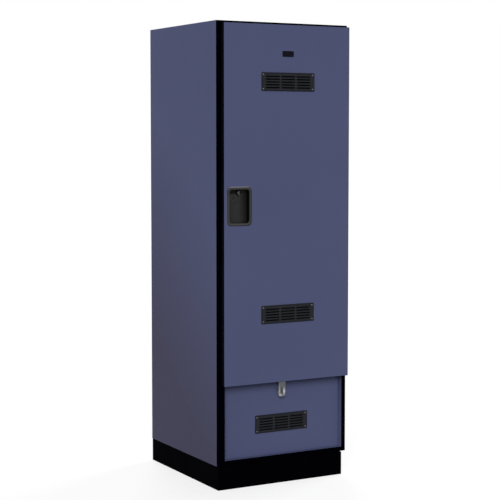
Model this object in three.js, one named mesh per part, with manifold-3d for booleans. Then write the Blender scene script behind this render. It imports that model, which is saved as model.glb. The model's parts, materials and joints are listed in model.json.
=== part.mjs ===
// Tall single-door locker made of laminate-covered board: hat shelf and coat rod above,
// foot locker with a lifting lid and a padlock hasp below, on a separate plinth.
// Millimetres, +Z up, the front faces -Y. The origin is the centre of the outer box, on the floor.
// While it is built, X starts at the end panel's outer face and Y at the front of the carcass.

import * as THREE from 'three';
import { mergeVertices } from 'three/addons/utils/BufferGeometryUtils.js';
import Module from 'manifold-3d';

const wasm = await Module();
wasm.setup();

// Boards and carcass
const boardThickness = 19.05;
const bandThickness = 1;
const backThickness = 6.35;
const lockerHeight = 1930.4;
const carcassWidth = 609.6;
const carcassDepth = 628.65;

// Plinth
const plinthHeight = 98.4;
const plinthBoard = 19.05;
const plinthProud = 12;
const plinthLeftInset = 1;
const plinthRightInset = 26.6;
const plinthRearInset = 2;

// Hat shelf and its pins
const hatHeight = 304.8;
const shelfSetback = 24;
const shelfEndGap = 0.5;
const shelfPinRadius = 2.5;
const shelfPinInsert = 8;
const shelfPinReach = 9;
const shelfPinHeadRadius = 3.5;
const shelfPinFromEdge = 60;

// Coat rod and coat hooks
const rodRadius = 12.7;
const rodWall = 1.5;
const rodDrop = 62;
const flangeRadius = 27;
const flangePlate = 2.5;
const flangeCollar = 14;
const flangeWall = 2.5;
const hookWire = 3;
const hookPlateWidth = 22;
const hookPlateHeight = 62;
const hookPlateThickness = 2.5;
const hookReach = 34;
const hookRise = 24;
const hookBallRadius = 5;
const hookBelowRod = 110;
const hookFromFront = 180;

// Door
const doorGap = 2;
const doorLeftReveal = 5;
const doorRightReveal = 0.6;
const doorTopReveal = 8.4;
const doorBottom = 431;
const doorCornerRadius = 3;
const bumperRadius = 5;
const bumperFromEnd = 40;

// Concealed hinges
const hingeEndDistance = 100;
const hingeCupRadius = 17.5;
const hingeCupDepth = 13.6;
const hingeCupWall = 0.8;
const hingeCupFromEdge = 19.5;
const hingeFlangeThickness = 1;
const hingeFlangeLength = 52;
const hingeFlangeWidth = 22;
const hingePinRadius = 1.25;
const hingePinHalf = 8.9;
const hingePinFromEdge = 6;
const hingePinDepth = 10;
const hingeKnuckleRadius = 2.2;
const hingeArmThickness = 2.2;
const hingeArmHeight = 9;
const hingePlateThickness = 3;
const hingePlateHeight = 36;
const hingePlateStart = 8;
const hingePlateLength = 44;
const hingeScrewRadius = 3.5;
const hingeScrewHead = 1.2;
const hingeScrewInset = 8;

// Vents
const ventWidth = 254;
const ventHeight = 76.2;
const ventThickness = 2.4;
const ventBorder = 1.2;
const ventBorderWidth = 5;
const ventCornerRadius = 4;
const ventColumns = 3;
const ventRows = 5;
const ventSideMargin = 20;
const ventEndMargin = 12.5;
const ventColumnRib = 9;
const ventRowRib = 6.2;
const ventLouvreRise = 2;
const ventScrewRadius = 3;
const ventScrewHead = 0.8;
const ventScrewInset = 8.5;
const ventCutoutMargin = 2;
const upperVentBelowDoorTop = 236;
const lowerVentAboveDoorBottom = 288;
const footVentAboveFloor = 131.5;

// Number plate
const plateWidth = 54;
const plateHeight = 24;
const plateThickness = 1.6;
const plateCornerRadius = 4;
const plateBelowDoorTop = 120.5;

// Recessed handle
const cupWidth = 114;
const cupHeight = 161;
const cupCornerRadius = 15;
const cupLip = 2.4;
const cupRimWidth = 12;
const cupDepth = 20;
const cupWall = 2;
const cupFromDoorEdge = 71.75;
const cupAboveDoorBottom = 743;
const cupSideFillet = 16;
const cupEndFillet = 3;
const cupHoleGap = 5;
const cupScrewSpacing = 39;
const cupScrewBelowTop = 33;
const cupScrewHeadRadius = 4.2;
const cupScrewHead = 2;
const cupScrewRadius = 2;
const backingWidth = 62;
const backingHeight = 44;
const backingThickness = 1.5;

// Padlock eye that stands through the handle
const eyeThickness = 3;
const eyeHeight = 21;
const eyeReach = 16;
const eyeHoleRadius = 4;
const eyeTipRadius = 7;
const eyeBelowTop = 1.8;
const eyeSlotSideGap = 2.4;
const eyeSlotEndGap = 1.4;
const eyeArmThickness = 2.5;
const eyeArmBehindDoor = 5.5;
const eyePlateLength = 46;
const eyePlateHeight = 50;

// Foot locker
const footRecess = 28;
const footEndGap = 1;
const seatHeight = 457.2;
const lidNosing = 12.5;
const lidSideGap = 5.4;
const lidRest = 0.3;
const railDepth = 75;
const lidRearGap = 0.8;

// Lid hinge
const leafThickness = 1.5;
const leafWidth = 26;
const lidKnuckleRadius = 3;
const lidPinRadius = 1.5;
const lidPinLift = 0.2;
const lidKnuckles = 9;
const knuckleEndGap = 0.6;

// Hasp and staple
const haspFromLeft = 317;
const haspWidth = 33;
const haspThickness = 2;
const haspLength = 72;
const haspPinRadius = 1.8;
const haspKnuckleRadius = 3.5;
const haspKnuckleWidth = 12;
const haspPinBelowLid = 4.2;
const haspShoulder = 1.4;
const haspCornerRadius = 9;
const haspSlotWidth = 8;
const haspSlotHeight = 30;
const haspSlotFromEnd = 9.5;
const stapleThickness = 4;
const stapleHeight = 23;
const stapleGap = 0.6;
const stapleTipWall = 1.8;
const stapleHoleDepth = 7.6;
const stapleHoleHeight = 13;
const stapleHoleRadius = 3.4;
const staplePlate = 2;
const staplePlateWidth = 30;
const staplePlateHeight = 30;

// Fits and facets
const runningGap = 0.15;
const overrun = 5;
const roundSteps = 24;
const cornerSteps = 5;
const smallSteps = 16;

// Places that follow from the sizes
const rightOuter = boardThickness + carcassWidth;
const leftInner = boardThickness * 2;
const rightInner = rightOuter - boardThickness;
const insideCentre = (leftInner + rightInner) / 2;
const sideRear = carcassDepth - backThickness;
const floorTop = plinthHeight + boardThickness;
const ceiling = lockerHeight - boardThickness;
const shelfBottom = ceiling - hatHeight - boardThickness;
const rodHeight = shelfBottom - rodDrop;
const rodFromFront = sideRear / 2;

const doorBack = -doorGap;
const doorFront = doorBack - boardThickness;
const doorLeft = boardThickness + doorLeftReveal;
const doorRight = rightOuter - doorRightReveal;
const doorTop = lockerHeight - doorTopReveal;
const doorWidth = doorRight - doorLeft;
const doorHeight = doorTop - doorBottom;
const doorCentre = (doorLeft + doorRight) / 2;
const doorMiddle = (doorBottom + doorTop) / 2;
const upperVentHeight = doorTop - upperVentBelowDoorTop;
const lowerVentHeight = doorBottom + lowerVentAboveDoorBottom;
const footVentHeight = floorTop + footVentAboveFloor;
const plateCentreHeight = doorTop - plateBelowDoorTop;

const hingePinX = doorRight - hingePinFromEdge;
const hingePinY = doorBack - hingePinDepth;
const hingeHeights = {
  lower: doorBottom + hingeEndDistance,
  middle: doorMiddle,
  upper: doorTop - hingeEndDistance,
};

const cupCentre = doorLeft + cupFromDoorEdge;
const cupCentreHeight = doorBottom + cupAboveDoorBottom;
const cupBack = doorFront + cupDepth;
const cupOpeningWidth = cupWidth - cupRimWidth * 2;
const cupOpeningHeight = cupHeight - cupRimWidth * 2;
const cupOpeningTop = cupCentreHeight + cupOpeningHeight / 2;
const cupScrewHeight = cupOpeningTop - cupScrewBelowTop;
const eyeTop = cupOpeningTop - eyeBelowTop;
const eyeCentreHeight = eyeTop - eyeHeight / 2;
const eyeFront = cupBack - eyeReach;
const eyeArmFront = doorBack + eyeArmBehindDoor;

const lidBottom = seatHeight - boardThickness;
const footTop = lidBottom - lidRest;
const railFront = sideRear - railDepth;
const lidRear = railFront - lidRearGap;
const lidPinY = railFront - lidRearGap / 2;
const lidPinZ = seatHeight + lidKnuckleRadius + lidPinLift;
const haspPinZ = lidBottom - haspPinBelowLid;
const haspPinY = lidNosing - haspKnuckleRadius;
const haspBottom = haspPinZ - haspLength;
const haspBack = haspPinY + haspThickness / 2;
const slotCentre = haspBottom + haspSlotFromEnd + haspSlotHeight / 2;
const stapleTip = haspBack + stapleGap;

const outerFront = doorFront - Math.max(cupLip, ventThickness + ventBorder, plateThickness);

const locker = new THREE.Group();
locker.position.set(-rightOuter / 2, -(outerFront + carcassDepth) / 2, 0);

const laminate = new THREE.MeshStandardMaterial({ color: 0x4c516f, roughness: 0.55, metalness: 0 });
const blackLaminate = new THREE.MeshStandardMaterial({ color: 0x0a0b0f, roughness: 0.5, metalness: 0 });
const edgeBand = new THREE.MeshStandardMaterial({ color: 0x0c0d11, roughness: 0.45, metalness: 0 });
const blackPlastic = new THREE.MeshStandardMaterial({ color: 0x15161a, roughness: 0.4, metalness: 0 });
const zinc = new THREE.MeshStandardMaterial({ color: 0xb9bab8, roughness: 0.35, metalness: 0.9 });
const chrome = new THREE.MeshStandardMaterial({ color: 0xd0d2d4, roughness: 0.2, metalness: 1 });
const softPlastic = new THREE.MeshStandardMaterial({ color: 0xd8d8d4, roughness: 0.6, metalness: 0 });

// A closed geometry as a solid that can be joined and cut
function solid(geometry) {
  const bare = geometry.clone();
  bare.deleteAttribute('normal');
  bare.deleteAttribute('uv');
  const merged = mergeVertices(bare);
  return new wasm.Manifold(new wasm.Mesh({
    numProp: 3,
    vertProperties: new Float32Array(merged.attributes.position.array),
    triVerts: new Uint32Array(merged.index.array),
  }));
}

function join(first, ...others) {
  return others.reduce((whole, other) => whole.add(solid(other)), solid(first));
}

function cut(whole, ...tools) {
  return tools.reduce((left, tool) => left.subtract(solid(tool)), whole);
}

function surface(shape) {
  const mesh = shape.getMesh();
  const geometry = new THREE.BufferGeometry();
  geometry.setAttribute('position', new THREE.BufferAttribute(new Float32Array(mesh.vertProperties), 3));
  geometry.setIndex(new THREE.BufferAttribute(new Uint32Array(mesh.triVerts), 1));
  geometry.computeVertexNormals();
  return geometry;
}

function piece(name, material, geometry) {
  const mesh = new THREE.Mesh(geometry, material);
  mesh.name = name;
  locker.add(mesh);
  return mesh;
}

// A box from its low corner to its high corner
function block(low, high) {
  const size = high.map((value, axis) => value - low[axis]);
  const geometry = new THREE.BoxGeometry(...size);
  geometry.translate(...low.map((value, axis) => value + size[axis] / 2));
  return geometry;
}

function roundedRectangle(width, height, radius) {
  const right = width / 2 - radius;
  const top = height / 2 - radius;
  const shape = new THREE.Shape();
  shape.absarc(right, top, radius, 0, Math.PI / 2);
  shape.absarc(-right, top, radius, Math.PI / 2, Math.PI);
  shape.absarc(-right, -top, radius, Math.PI, Math.PI * 1.5);
  shape.absarc(right, -top, radius, Math.PI * 1.5, Math.PI * 2);
  shape.closePath();
  return shape;
}

// A shape drawn in X and Z, facing the front, that fills Y from front to back
function facing(shape, front, back) {
  const geometry = new THREE.ExtrudeGeometry(shape, {
    depth: back - front,
    bevelEnabled: false,
    curveSegments: cornerSteps,
  });
  geometry.rotateX(Math.PI / 2);
  geometry.translate(0, back, 0);
  return geometry;
}

// A shape drawn in Y and Z, seen from the side, that fills X from left to right
function sideways(shape, left, right) {
  const geometry = new THREE.ExtrudeGeometry(shape, {
    depth: right - left,
    bevelEnabled: false,
    curveSegments: cornerSteps,
  });
  const turn = new THREE.Matrix4().makeBasis(
    new THREE.Vector3(0, 1, 0),
    new THREE.Vector3(0, 0, 1),
    new THREE.Vector3(1, 0, 0),
  );
  geometry.applyMatrix4(turn);
  geometry.translate(left, 0, 0);
  return geometry;
}

function rodAlongX(radius, left, right, y, z, steps = smallSteps) {
  const geometry = new THREE.CylinderGeometry(radius, radius, right - left, steps);
  geometry.rotateZ(Math.PI / 2);
  geometry.translate((left + right) / 2, y, z);
  return geometry;
}

function rodAlongY(radius, front, back, x, z, steps = smallSteps) {
  const geometry = new THREE.CylinderGeometry(radius, radius, back - front, steps);
  geometry.translate(x, (front + back) / 2, z);
  return geometry;
}

function rodAlongZ(radius, bottom, top, x, y, steps = smallSteps) {
  const geometry = new THREE.CylinderGeometry(radius, radius, top - bottom, steps);
  geometry.rotateX(Math.PI / 2);
  geometry.translate(x, y, (bottom + top) / 2);
  return geometry;
}

// A closed body through rings of equal length, each a list of [x, y, z]
function loft(rings) {
  const count = rings[0].length;
  const points = rings.flat();
  const faces = [];
  for (let ring = 0; ring + 1 < rings.length; ring += 1) {
    for (let step = 0; step < count; step += 1) {
      const next = (step + 1) % count;
      const a = ring * count + step;
      const b = ring * count + next;
      faces.push(a, a + count, b + count, a, b + count, b);
    }
  }
  const last = points.length - count;
  for (let step = 1; step + 1 < count; step += 1) {
    faces.push(0, step, step + 1);
    faces.push(last, last + step + 1, last + step);
  }
  const geometry = new THREE.BufferGeometry();
  geometry.setAttribute('position', new THREE.Float32BufferAttribute(points.flat(), 3));
  geometry.setIndex(faces);
  return geometry;
}

// A rounded rectangle standing in X and Z at one depth, as a ring of points
function standingRing(width, height, radius, x, y, z) {
  const ring = [];
  for (let corner = 0; corner < 4; corner += 1) {
    const alongX = corner === 0 || corner === 3 ? 1 : -1;
    const alongZ = corner < 2 ? 1 : -1;
    for (let step = 0; step <= cornerSteps; step += 1) {
      const angle = (corner + step / cornerSteps) * Math.PI / 2;
      const acrossX = alongX * (width / 2 - radius) + radius * Math.cos(angle);
      const acrossZ = alongZ * (height / 2 - radius) + radius * Math.sin(angle);
      ring.push([x + acrossX, y, z + acrossZ]);
    }
  }
  return ring;
}

// Upright board with its black front edge
function sideBoard(name, left, rear, holes = []) {
  const right = left + boardThickness;
  const panel = block([left, bandThickness, plinthHeight], [right, rear, lockerHeight]);
  piece(name, laminate, holes.length ? surface(cut(solid(panel), ...holes)) : panel);
  const band = block([left, 0, plinthHeight], [right, bandThickness, lockerHeight]);
  piece(`${name}_edge_band`, edgeBand, band);
}

// Level board between two walls with its black front edge
function levelBoard(name, left, right, front, rear, bottom) {
  const top = bottom + boardThickness;
  piece(name, laminate, block([left, front + bandThickness, bottom], [right, rear, top]));
  piece(`${name}_edge_band`, edgeBand, block([left, front, bottom], [right, front + bandThickness, top]));
}

const shelfPinPlaces = [
  ['front', shelfSetback + shelfPinFromEdge],
  ['rear', sideRear - shelfPinFromEdge],
];

function shelfPinHoles(face, direction) {
  const deep = face - direction * (shelfPinInsert + runningGap);
  const open = face + direction * overrun;
  const height = shelfBottom - shelfPinHeadRadius;
  return shelfPinPlaces.map(([, y]) => rodAlongX(
    shelfPinRadius + runningGap, Math.min(deep, open), Math.max(deep, open), y, height,
  ));
}

function shelfPins(side, face, direction) {
  const height = shelfBottom - shelfPinHeadRadius;
  for (const [end, y] of shelfPinPlaces) {
    const deep = face - direction * shelfPinInsert;
    const tip = face + direction * shelfPinReach;
    const stem = rodAlongX(shelfPinRadius, Math.min(deep, tip), Math.max(deep, tip), y, height);
    const head = rodAlongX(shelfPinHeadRadius, Math.min(face, tip), Math.max(face, tip), y, height);
    piece(`shelf_pin_${side}_${end}`, zinc, surface(join(stem, head)));
  }
}

function carcass() {
  sideBoard('end_panel', 0, carcassDepth);
  sideBoard('left_side', boardThickness, sideRear, shelfPinHoles(leftInner, 1));
  sideBoard('right_side', rightInner, sideRear, shelfPinHoles(rightInner, -1));
  levelBoard('bottom_panel', leftInner, rightInner, 0, sideRear, plinthHeight);
  levelBoard('top_panel', leftInner, rightInner, 0, sideRear, ceiling);
  const back = block([boardThickness, sideRear, plinthHeight], [rightOuter, carcassDepth, lockerHeight]);
  piece('back_panel', laminate, back);
  const shelfLeft = leftInner + shelfEndGap;
  const shelfRight = rightInner - shelfEndGap;
  levelBoard('hat_shelf', shelfLeft, shelfRight, shelfSetback, sideRear, shelfBottom);
  shelfPins('left', leftInner, 1);
  shelfPins('right', rightInner, -1);
}

function plinth() {
  const left = plinthLeftInset;
  const right = rightOuter - plinthRightInset;
  const front = -plinthProud;
  const rear = carcassDepth - plinthRearInset;
  const boards = {
    plinth_front: [left, right, front, front + plinthBoard],
    plinth_rear: [left, right, rear - plinthBoard, rear],
    plinth_left: [left, left + plinthBoard, front + plinthBoard, rear - plinthBoard],
    plinth_right: [right - plinthBoard, right, front + plinthBoard, rear - plinthBoard],
  };
  for (const [name, [x0, x1, y0, y1]] of Object.entries(boards)) {
    piece(name, blackLaminate, block([x0, y0, 0], [x1, y1, plinthHeight]));
  }
}

function coatRod() {
  const inner = rodRadius - rodWall;
  const start = leftInner + flangePlate + runningGap;
  const end = rightInner - flangePlate - runningGap;
  const bar = rodAlongX(rodRadius, start, end, rodFromFront, rodHeight, roundSteps);
  const bore = rodAlongX(inner, start - overrun, end + overrun, rodFromFront, rodHeight, roundSteps);
  piece('coat_rod', chrome, surface(cut(solid(bar), bore)));
  const collarInner = rodRadius + runningGap * 2;
  const collarOuter = collarInner + flangeWall;
  for (const [side, face, direction] of [['left', leftInner, 1], ['right', rightInner, -1]]) {
    const span = (from, to) => [face + direction * from, face + direction * to].sort((a, b) => a - b);
    const plate = rodAlongX(flangeRadius, ...span(0, flangePlate), rodFromFront, rodHeight, roundSteps);
    const collar = rodAlongX(collarOuter, ...span(0, flangeCollar), rodFromFront, rodHeight, roundSteps);
    const seat = rodAlongX(
      collarInner, ...span(flangePlate, flangeCollar + overrun), rodFromFront, rodHeight, roundSteps,
    );
    piece(`rod_flange_${side}`, zinc, surface(cut(join(plate, collar), seat)));
  }
}

// J-shaped coat hook on a wall plate
function coatHook(side, face, direction) {
  const at = (distance) => face + direction * distance;
  const height = rodHeight - hookBelowRod;
  const bend = hookRise / 2;
  const path = new THREE.CurvePath();
  const start = new THREE.Vector3(at(hookPlateThickness / 2), hookFromFront, height);
  const corner = new THREE.Vector3(at(hookReach - bend), hookFromFront, height);
  const control = new THREE.Vector3(at(hookReach), hookFromFront, height);
  const turned = new THREE.Vector3(at(hookReach), hookFromFront, height + bend);
  const tip = new THREE.Vector3(at(hookReach), hookFromFront, height + hookRise);
  path.add(new THREE.LineCurve3(start, corner));
  path.add(new THREE.QuadraticBezierCurve3(corner, control, turned));
  path.add(new THREE.LineCurve3(turned, tip));
  const section = new THREE.Shape().absarc(0, 0, hookWire, 0, Math.PI * 2);
  const wire = new THREE.ExtrudeGeometry(section, {
    steps: roundSteps, extrudePath: path, curveSegments: cornerSteps,
  });
  const ball = new THREE.SphereGeometry(hookBallRadius, smallSteps, smallSteps / 2);
  ball.translate(...tip.toArray());
  const low = [Math.min(face, at(hookPlateThickness)), hookFromFront - hookPlateWidth / 2,
    height - hookPlateHeight / 2];
  const high = [Math.max(face, at(hookPlateThickness)), hookFromFront + hookPlateWidth / 2,
    height + hookPlateHeight / 2];
  piece(`coat_hook_${side}`, chrome, surface(join(block(low, high), wire, ball)));
}

// Left and right edges of each column of slots, from the middle of the vent
function ventColumnSpans() {
  const width = (ventWidth - ventSideMargin * 2 - ventColumnRib * (ventColumns - 1)) / ventColumns;
  return Array.from({ length: ventColumns }, (_, column) => {
    const left = -ventWidth / 2 + ventSideMargin + column * (width + ventColumnRib);
    return [left, left + width];
  });
}

// Grille with a raised border and slanted slots, screwed on at its corners
function vent(name, x, z, boardFront) {
  const face = boardFront - ventThickness;
  const outline = roundedRectangle(ventWidth, ventHeight, ventCornerRadius);
  const inner = roundedRectangle(
    ventWidth - ventBorderWidth * 2, ventHeight - ventBorderWidth * 2, ventCornerRadius / 2,
  );
  let body = join(facing(outline, face - ventBorder, boardFront));
  body = cut(body, facing(inner, face - ventBorder - overrun, face));
  const inside = ventHeight - ventEndMargin * 2;
  const slotHeight = (inside - ventRowRib * (ventRows - 1)) / ventRows;
  for (const [left, right] of ventColumnSpans()) {
    for (let row = 0; row < ventRows; row += 1) {
      const bottom = -inside / 2 + row * (slotHeight + ventRowRib);
      const slot = new THREE.Shape([
        new THREE.Vector2(face - ventBorder, bottom - ventLouvreRise),
        new THREE.Vector2(boardFront + ventBorder, bottom + ventLouvreRise),
        new THREE.Vector2(boardFront + ventBorder, bottom + ventLouvreRise + slotHeight),
        new THREE.Vector2(face - ventBorder, bottom - ventLouvreRise + slotHeight),
      ]);
      body = cut(body, sideways(slot, left, right));
    }
  }
  const screwX = ventWidth / 2 - ventScrewInset;
  const screwZ = ventHeight / 2 - ventScrewInset;
  for (const [alongX, alongZ] of [[1, 1], [-1, 1], [-1, -1], [1, -1]]) {
    const head = rodAlongY(
      ventScrewRadius, face - ventScrewHead, face + ventScrewHead, alongX * screwX, alongZ * screwZ,
    );
    body = body.add(solid(head));
  }
  const mesh = piece(name, blackPlastic, surface(body));
  mesh.position.set(x, 0, z);
}

// Square hole through the board behind a vent
function ventCutout(x, z, front, back) {
  const halfWidth = ventWidth / 2 - ventSideMargin + ventCutoutMargin;
  const halfHeight = ventHeight / 2 - ventEndMargin + ventCutoutMargin;
  return block(
    [x - halfWidth, front - overrun, z - halfHeight],
    [x + halfWidth, back + overrun, z + halfHeight],
  );
}

function hingeBore(height) {
  const bottom = doorBack - hingeCupDepth - runningGap;
  const x = doorRight - hingeCupFromEdge;
  return rodAlongY(hingeCupRadius + runningGap, bottom, doorBack + overrun, x, height, roundSteps);
}

function doorLeaf() {
  const coreOutline = roundedRectangle(
    doorWidth - bandThickness * 2, doorHeight - bandThickness * 2, doorCornerRadius - bandThickness,
  );
  const board = facing(coreOutline, doorFront, doorBack);
  board.translate(doorCentre, 0, doorMiddle);
  const holeHalfWidth = cupOpeningWidth / 2 + cupWall + cupHoleGap;
  const holeHalfHeight = cupOpeningHeight / 2 + cupWall + cupHoleGap;
  const hole = block(
    [cupCentre - holeHalfWidth, doorFront - overrun, cupCentreHeight - holeHalfHeight],
    [cupCentre + holeHalfWidth, doorBack + overrun, cupCentreHeight + holeHalfHeight],
  );
  const body = cut(
    solid(board),
    hole,
    ventCutout(doorCentre, upperVentHeight, doorFront, doorBack),
    ventCutout(doorCentre, lowerVentHeight, doorFront, doorBack),
    ...Object.values(hingeHeights).map(hingeBore),
  );
  piece('door', laminate, surface(body));
  const outer = facing(roundedRectangle(doorWidth, doorHeight, doorCornerRadius), doorFront, doorBack);
  const inner = facing(coreOutline, doorFront - overrun, doorBack + overrun);
  const band = surface(cut(solid(outer), inner));
  piece('door_edge_band', edgeBand, band).position.set(doorCentre, 0, doorMiddle);
  for (const [end, z] of [['lower', doorBottom + bumperFromEnd], ['upper', doorTop - bumperFromEnd]]) {
    const x = (doorLeft + leftInner) / 2;
    piece(`door_bumper_${end}`, softPlastic, rodAlongY(bumperRadius, doorBack + runningGap, 0, x, z));
  }
}

function numberPlate() {
  const shape = roundedRectangle(plateWidth, plateHeight, plateCornerRadius);
  const mesh = piece('number_plate', blackPlastic, facing(shape, doorFront - plateThickness, doorFront));
  mesh.position.set(doorCentre, 0, plateCentreHeight);
}

// Bowl of the handle: its section draws in towards the back, wide at the sides and tight at the ends
function bowl(grow, front, back) {
  const levelShares = [0, 0.35, 0.65, 0.87, 1];
  const rings = levelShares.map((share) => {
    const drawn = 1 - Math.sqrt(1 - share * share);
    return standingRing(
      cupOpeningWidth + grow * 2 - drawn * cupSideFillet * 2,
      cupOpeningHeight + grow * 2 - drawn * cupEndFillet * 2,
      cupCornerRadius - cupWall + grow / 2,
      cupCentre, front + (back - front) * share, cupCentreHeight,
    );
  });
  return loft(rings);
}

function cupScrewPlaces() {
  return [['left', cupCentre - cupScrewSpacing / 2], ['right', cupCentre + cupScrewSpacing / 2]];
}

function eyeSlot(front, back) {
  const half = eyeThickness / 2 + eyeSlotSideGap;
  return block(
    [cupCentre - half, front, eyeTop - eyeHeight - eyeSlotEndGap],
    [cupCentre + half, back, eyeTop + eyeSlotEndGap],
  );
}

function handle() {
  const lip = facing(roundedRectangle(cupWidth, cupHeight, cupCornerRadius), doorFront - cupLip, doorFront);
  lip.translate(cupCentre, 0, cupCentreHeight);
  const outside = bowl(cupWall, doorFront - cupLip / 2, cupBack + cupWall);
  const inside = bowl(0, doorFront - cupLip, cupBack);
  const mouth = facing(
    roundedRectangle(cupOpeningWidth, cupOpeningHeight, cupCornerRadius - cupWall),
    doorFront - cupLip - overrun, doorFront - cupLip / 2,
  );
  mouth.translate(cupCentre, 0, cupCentreHeight);
  const screwBack = cupBack + cupWall + backingThickness;
  const screwHoles = cupScrewPlaces().map(([, x]) => rodAlongY(
    cupScrewRadius + runningGap, cupBack - overrun, screwBack + overrun, x, cupScrewHeight,
  ));
  const slot = eyeSlot(cupBack - overrun, screwBack + overrun);
  piece('handle_cup', blackPlastic, surface(cut(join(lip, outside), inside, mouth, slot, ...screwHoles)));

  const plateTop = eyeTop + eyeSlotEndGap + backingThickness * 2;
  const plate = block(
    [cupCentre - backingWidth / 2, cupBack + cupWall, plateTop - backingHeight],
    [cupCentre + backingWidth / 2, screwBack, plateTop],
  );
  piece('cup_backing_plate', zinc, surface(cut(solid(plate), slot, ...screwHoles)));
  for (const [side, x] of cupScrewPlaces()) {
    const head = rodAlongY(cupScrewHeadRadius, cupBack - cupScrewHead, cupBack, x, cupScrewHeight);
    const shank = rodAlongY(cupScrewRadius, cupBack - cupScrewHead / 2, screwBack, x, cupScrewHeight);
    piece(`cup_screw_${side}`, blackPlastic, surface(join(head, shank)));
  }
}

// Bracket on the left side whose eye stands forward through the handle, for a padlock
function padlockEye() {
  const left = cupCentre - eyeThickness / 2;
  const right = cupCentre + eyeThickness / 2;
  const armRear = eyeArmFront + eyeArmThickness;
  const plate = block(
    [leftInner, eyeArmFront, eyeCentreHeight - eyePlateHeight / 2],
    [leftInner + eyeArmThickness, eyeArmFront + eyePlateLength, eyeCentreHeight + eyePlateHeight / 2],
  );
  const arm = block([leftInner, eyeArmFront, eyeTop - eyeHeight], [right, armRear, eyeTop]);
  const tooth = new THREE.Shape();
  tooth.moveTo(armRear, eyeTop - eyeHeight);
  tooth.lineTo(armRear, eyeTop);
  tooth.lineTo(eyeFront + eyeTipRadius, eyeTop);
  tooth.absarc(eyeFront + eyeTipRadius, eyeTop - eyeTipRadius, eyeTipRadius, Math.PI / 2, Math.PI);
  tooth.lineTo(eyeFront, eyeTop - eyeHeight + eyeTipRadius / 2);
  tooth.lineTo(eyeFront + eyeTipRadius / 2, eyeTop - eyeHeight);
  tooth.closePath();
  const hole = rodAlongX(
    eyeHoleRadius, left - overrun, right + overrun, eyeFront + eyeTipRadius, eyeCentreHeight,
  );
  piece('padlock_eye', zinc, surface(cut(join(plate, arm, sideways(tooth, left, right)), hole)));
}

function concealedHinge(place, height) {
  const cupX = doorRight - hingeCupFromEdge;
  const bottom = doorBack - hingeCupDepth;
  const shell = rodAlongY(hingeCupRadius, bottom, doorBack, cupX, height, roundSteps);
  const flangeRight = cupX + hingeCupRadius;
  const flange = block(
    [flangeRight - hingeFlangeWidth, doorBack, height - hingeFlangeLength / 2],
    [flangeRight, doorBack + hingeFlangeThickness, height + hingeFlangeLength / 2],
  );
  const hollow = rodAlongY(
    hingeCupRadius - hingeCupWall, bottom + hingeCupWall, doorBack + overrun, cupX, height, roundSteps,
  );
  const pinHole = rodAlongZ(
    hingePinRadius + runningGap, height - hingePinHalf - runningGap, height + hingePinHalf + runningGap,
    hingePinX, hingePinY,
  );
  piece(`hinge_cup_${place}`, zinc, surface(cut(join(shell, flange), hollow, pinHole)));
  const pin = rodAlongZ(hingePinRadius, height - hingePinHalf, height + hingePinHalf, hingePinX, hingePinY);
  piece(`hinge_pin_${place}`, zinc, pin);

  const low = height - hingeArmHeight / 2;
  const high = height + hingeArmHeight / 2;
  const armLeft = rightInner - hingePlateThickness;
  const inward = block(
    [armLeft, hingePinY - hingeArmThickness / 2, low],
    [hingePinX, hingePinY + hingeArmThickness / 2, high],
  );
  const backward = block(
    [armLeft, hingePinY - hingeArmThickness / 2, low],
    [armLeft + hingeArmThickness, hingePlateStart + hingeArmThickness, high],
  );
  const plate = block(
    [armLeft, hingePlateStart, height - hingePlateHeight / 2],
    [rightInner, hingePlateStart + hingePlateLength, height + hingePlateHeight / 2],
  );
  const knuckle = rodAlongZ(hingeKnuckleRadius, low, high, hingePinX, hingePinY);
  const screws = [1, -1].map((direction) => rodAlongX(
    hingeScrewRadius, armLeft - hingeScrewHead, armLeft + hingeScrewHead,
    hingePlateStart + hingePlateLength / 2, height + direction * (hingePlateHeight / 2 - hingeScrewInset),
  ));
  const bore = rodAlongZ(hingePinRadius + runningGap, low - overrun, high + overrun, hingePinX, hingePinY);
  piece(`hinge_arm_${place}`, zinc, surface(cut(join(plate, inward, backward, knuckle, ...screws), bore)));
}

function footLocker() {
  const left = leftInner + footEndGap;
  const right = rightInner - footEndGap;
  const rear = footRecess + boardThickness;
  const front = block([left, footRecess, floorTop], [right, rear, footTop]);
  const hole = ventCutout(insideCentre, footVentHeight, footRecess, rear);
  piece('footlocker_front', laminate, surface(cut(solid(front), hole)));
  vent('footlocker_vent', insideCentre, footVentHeight, footRecess);
  const lidLeft = leftInner + lidSideGap;
  const lidRight = rightInner - lidSideGap;
  levelBoard('footlocker_lid', lidLeft, lidRight, lidNosing, lidRear, lidBottom);
  piece('lid_rail', laminate, block([leftInner, railFront, lidBottom], [rightInner, sideRear, seatHeight]));
  lidHinge(lidLeft, lidRight);
}

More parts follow.
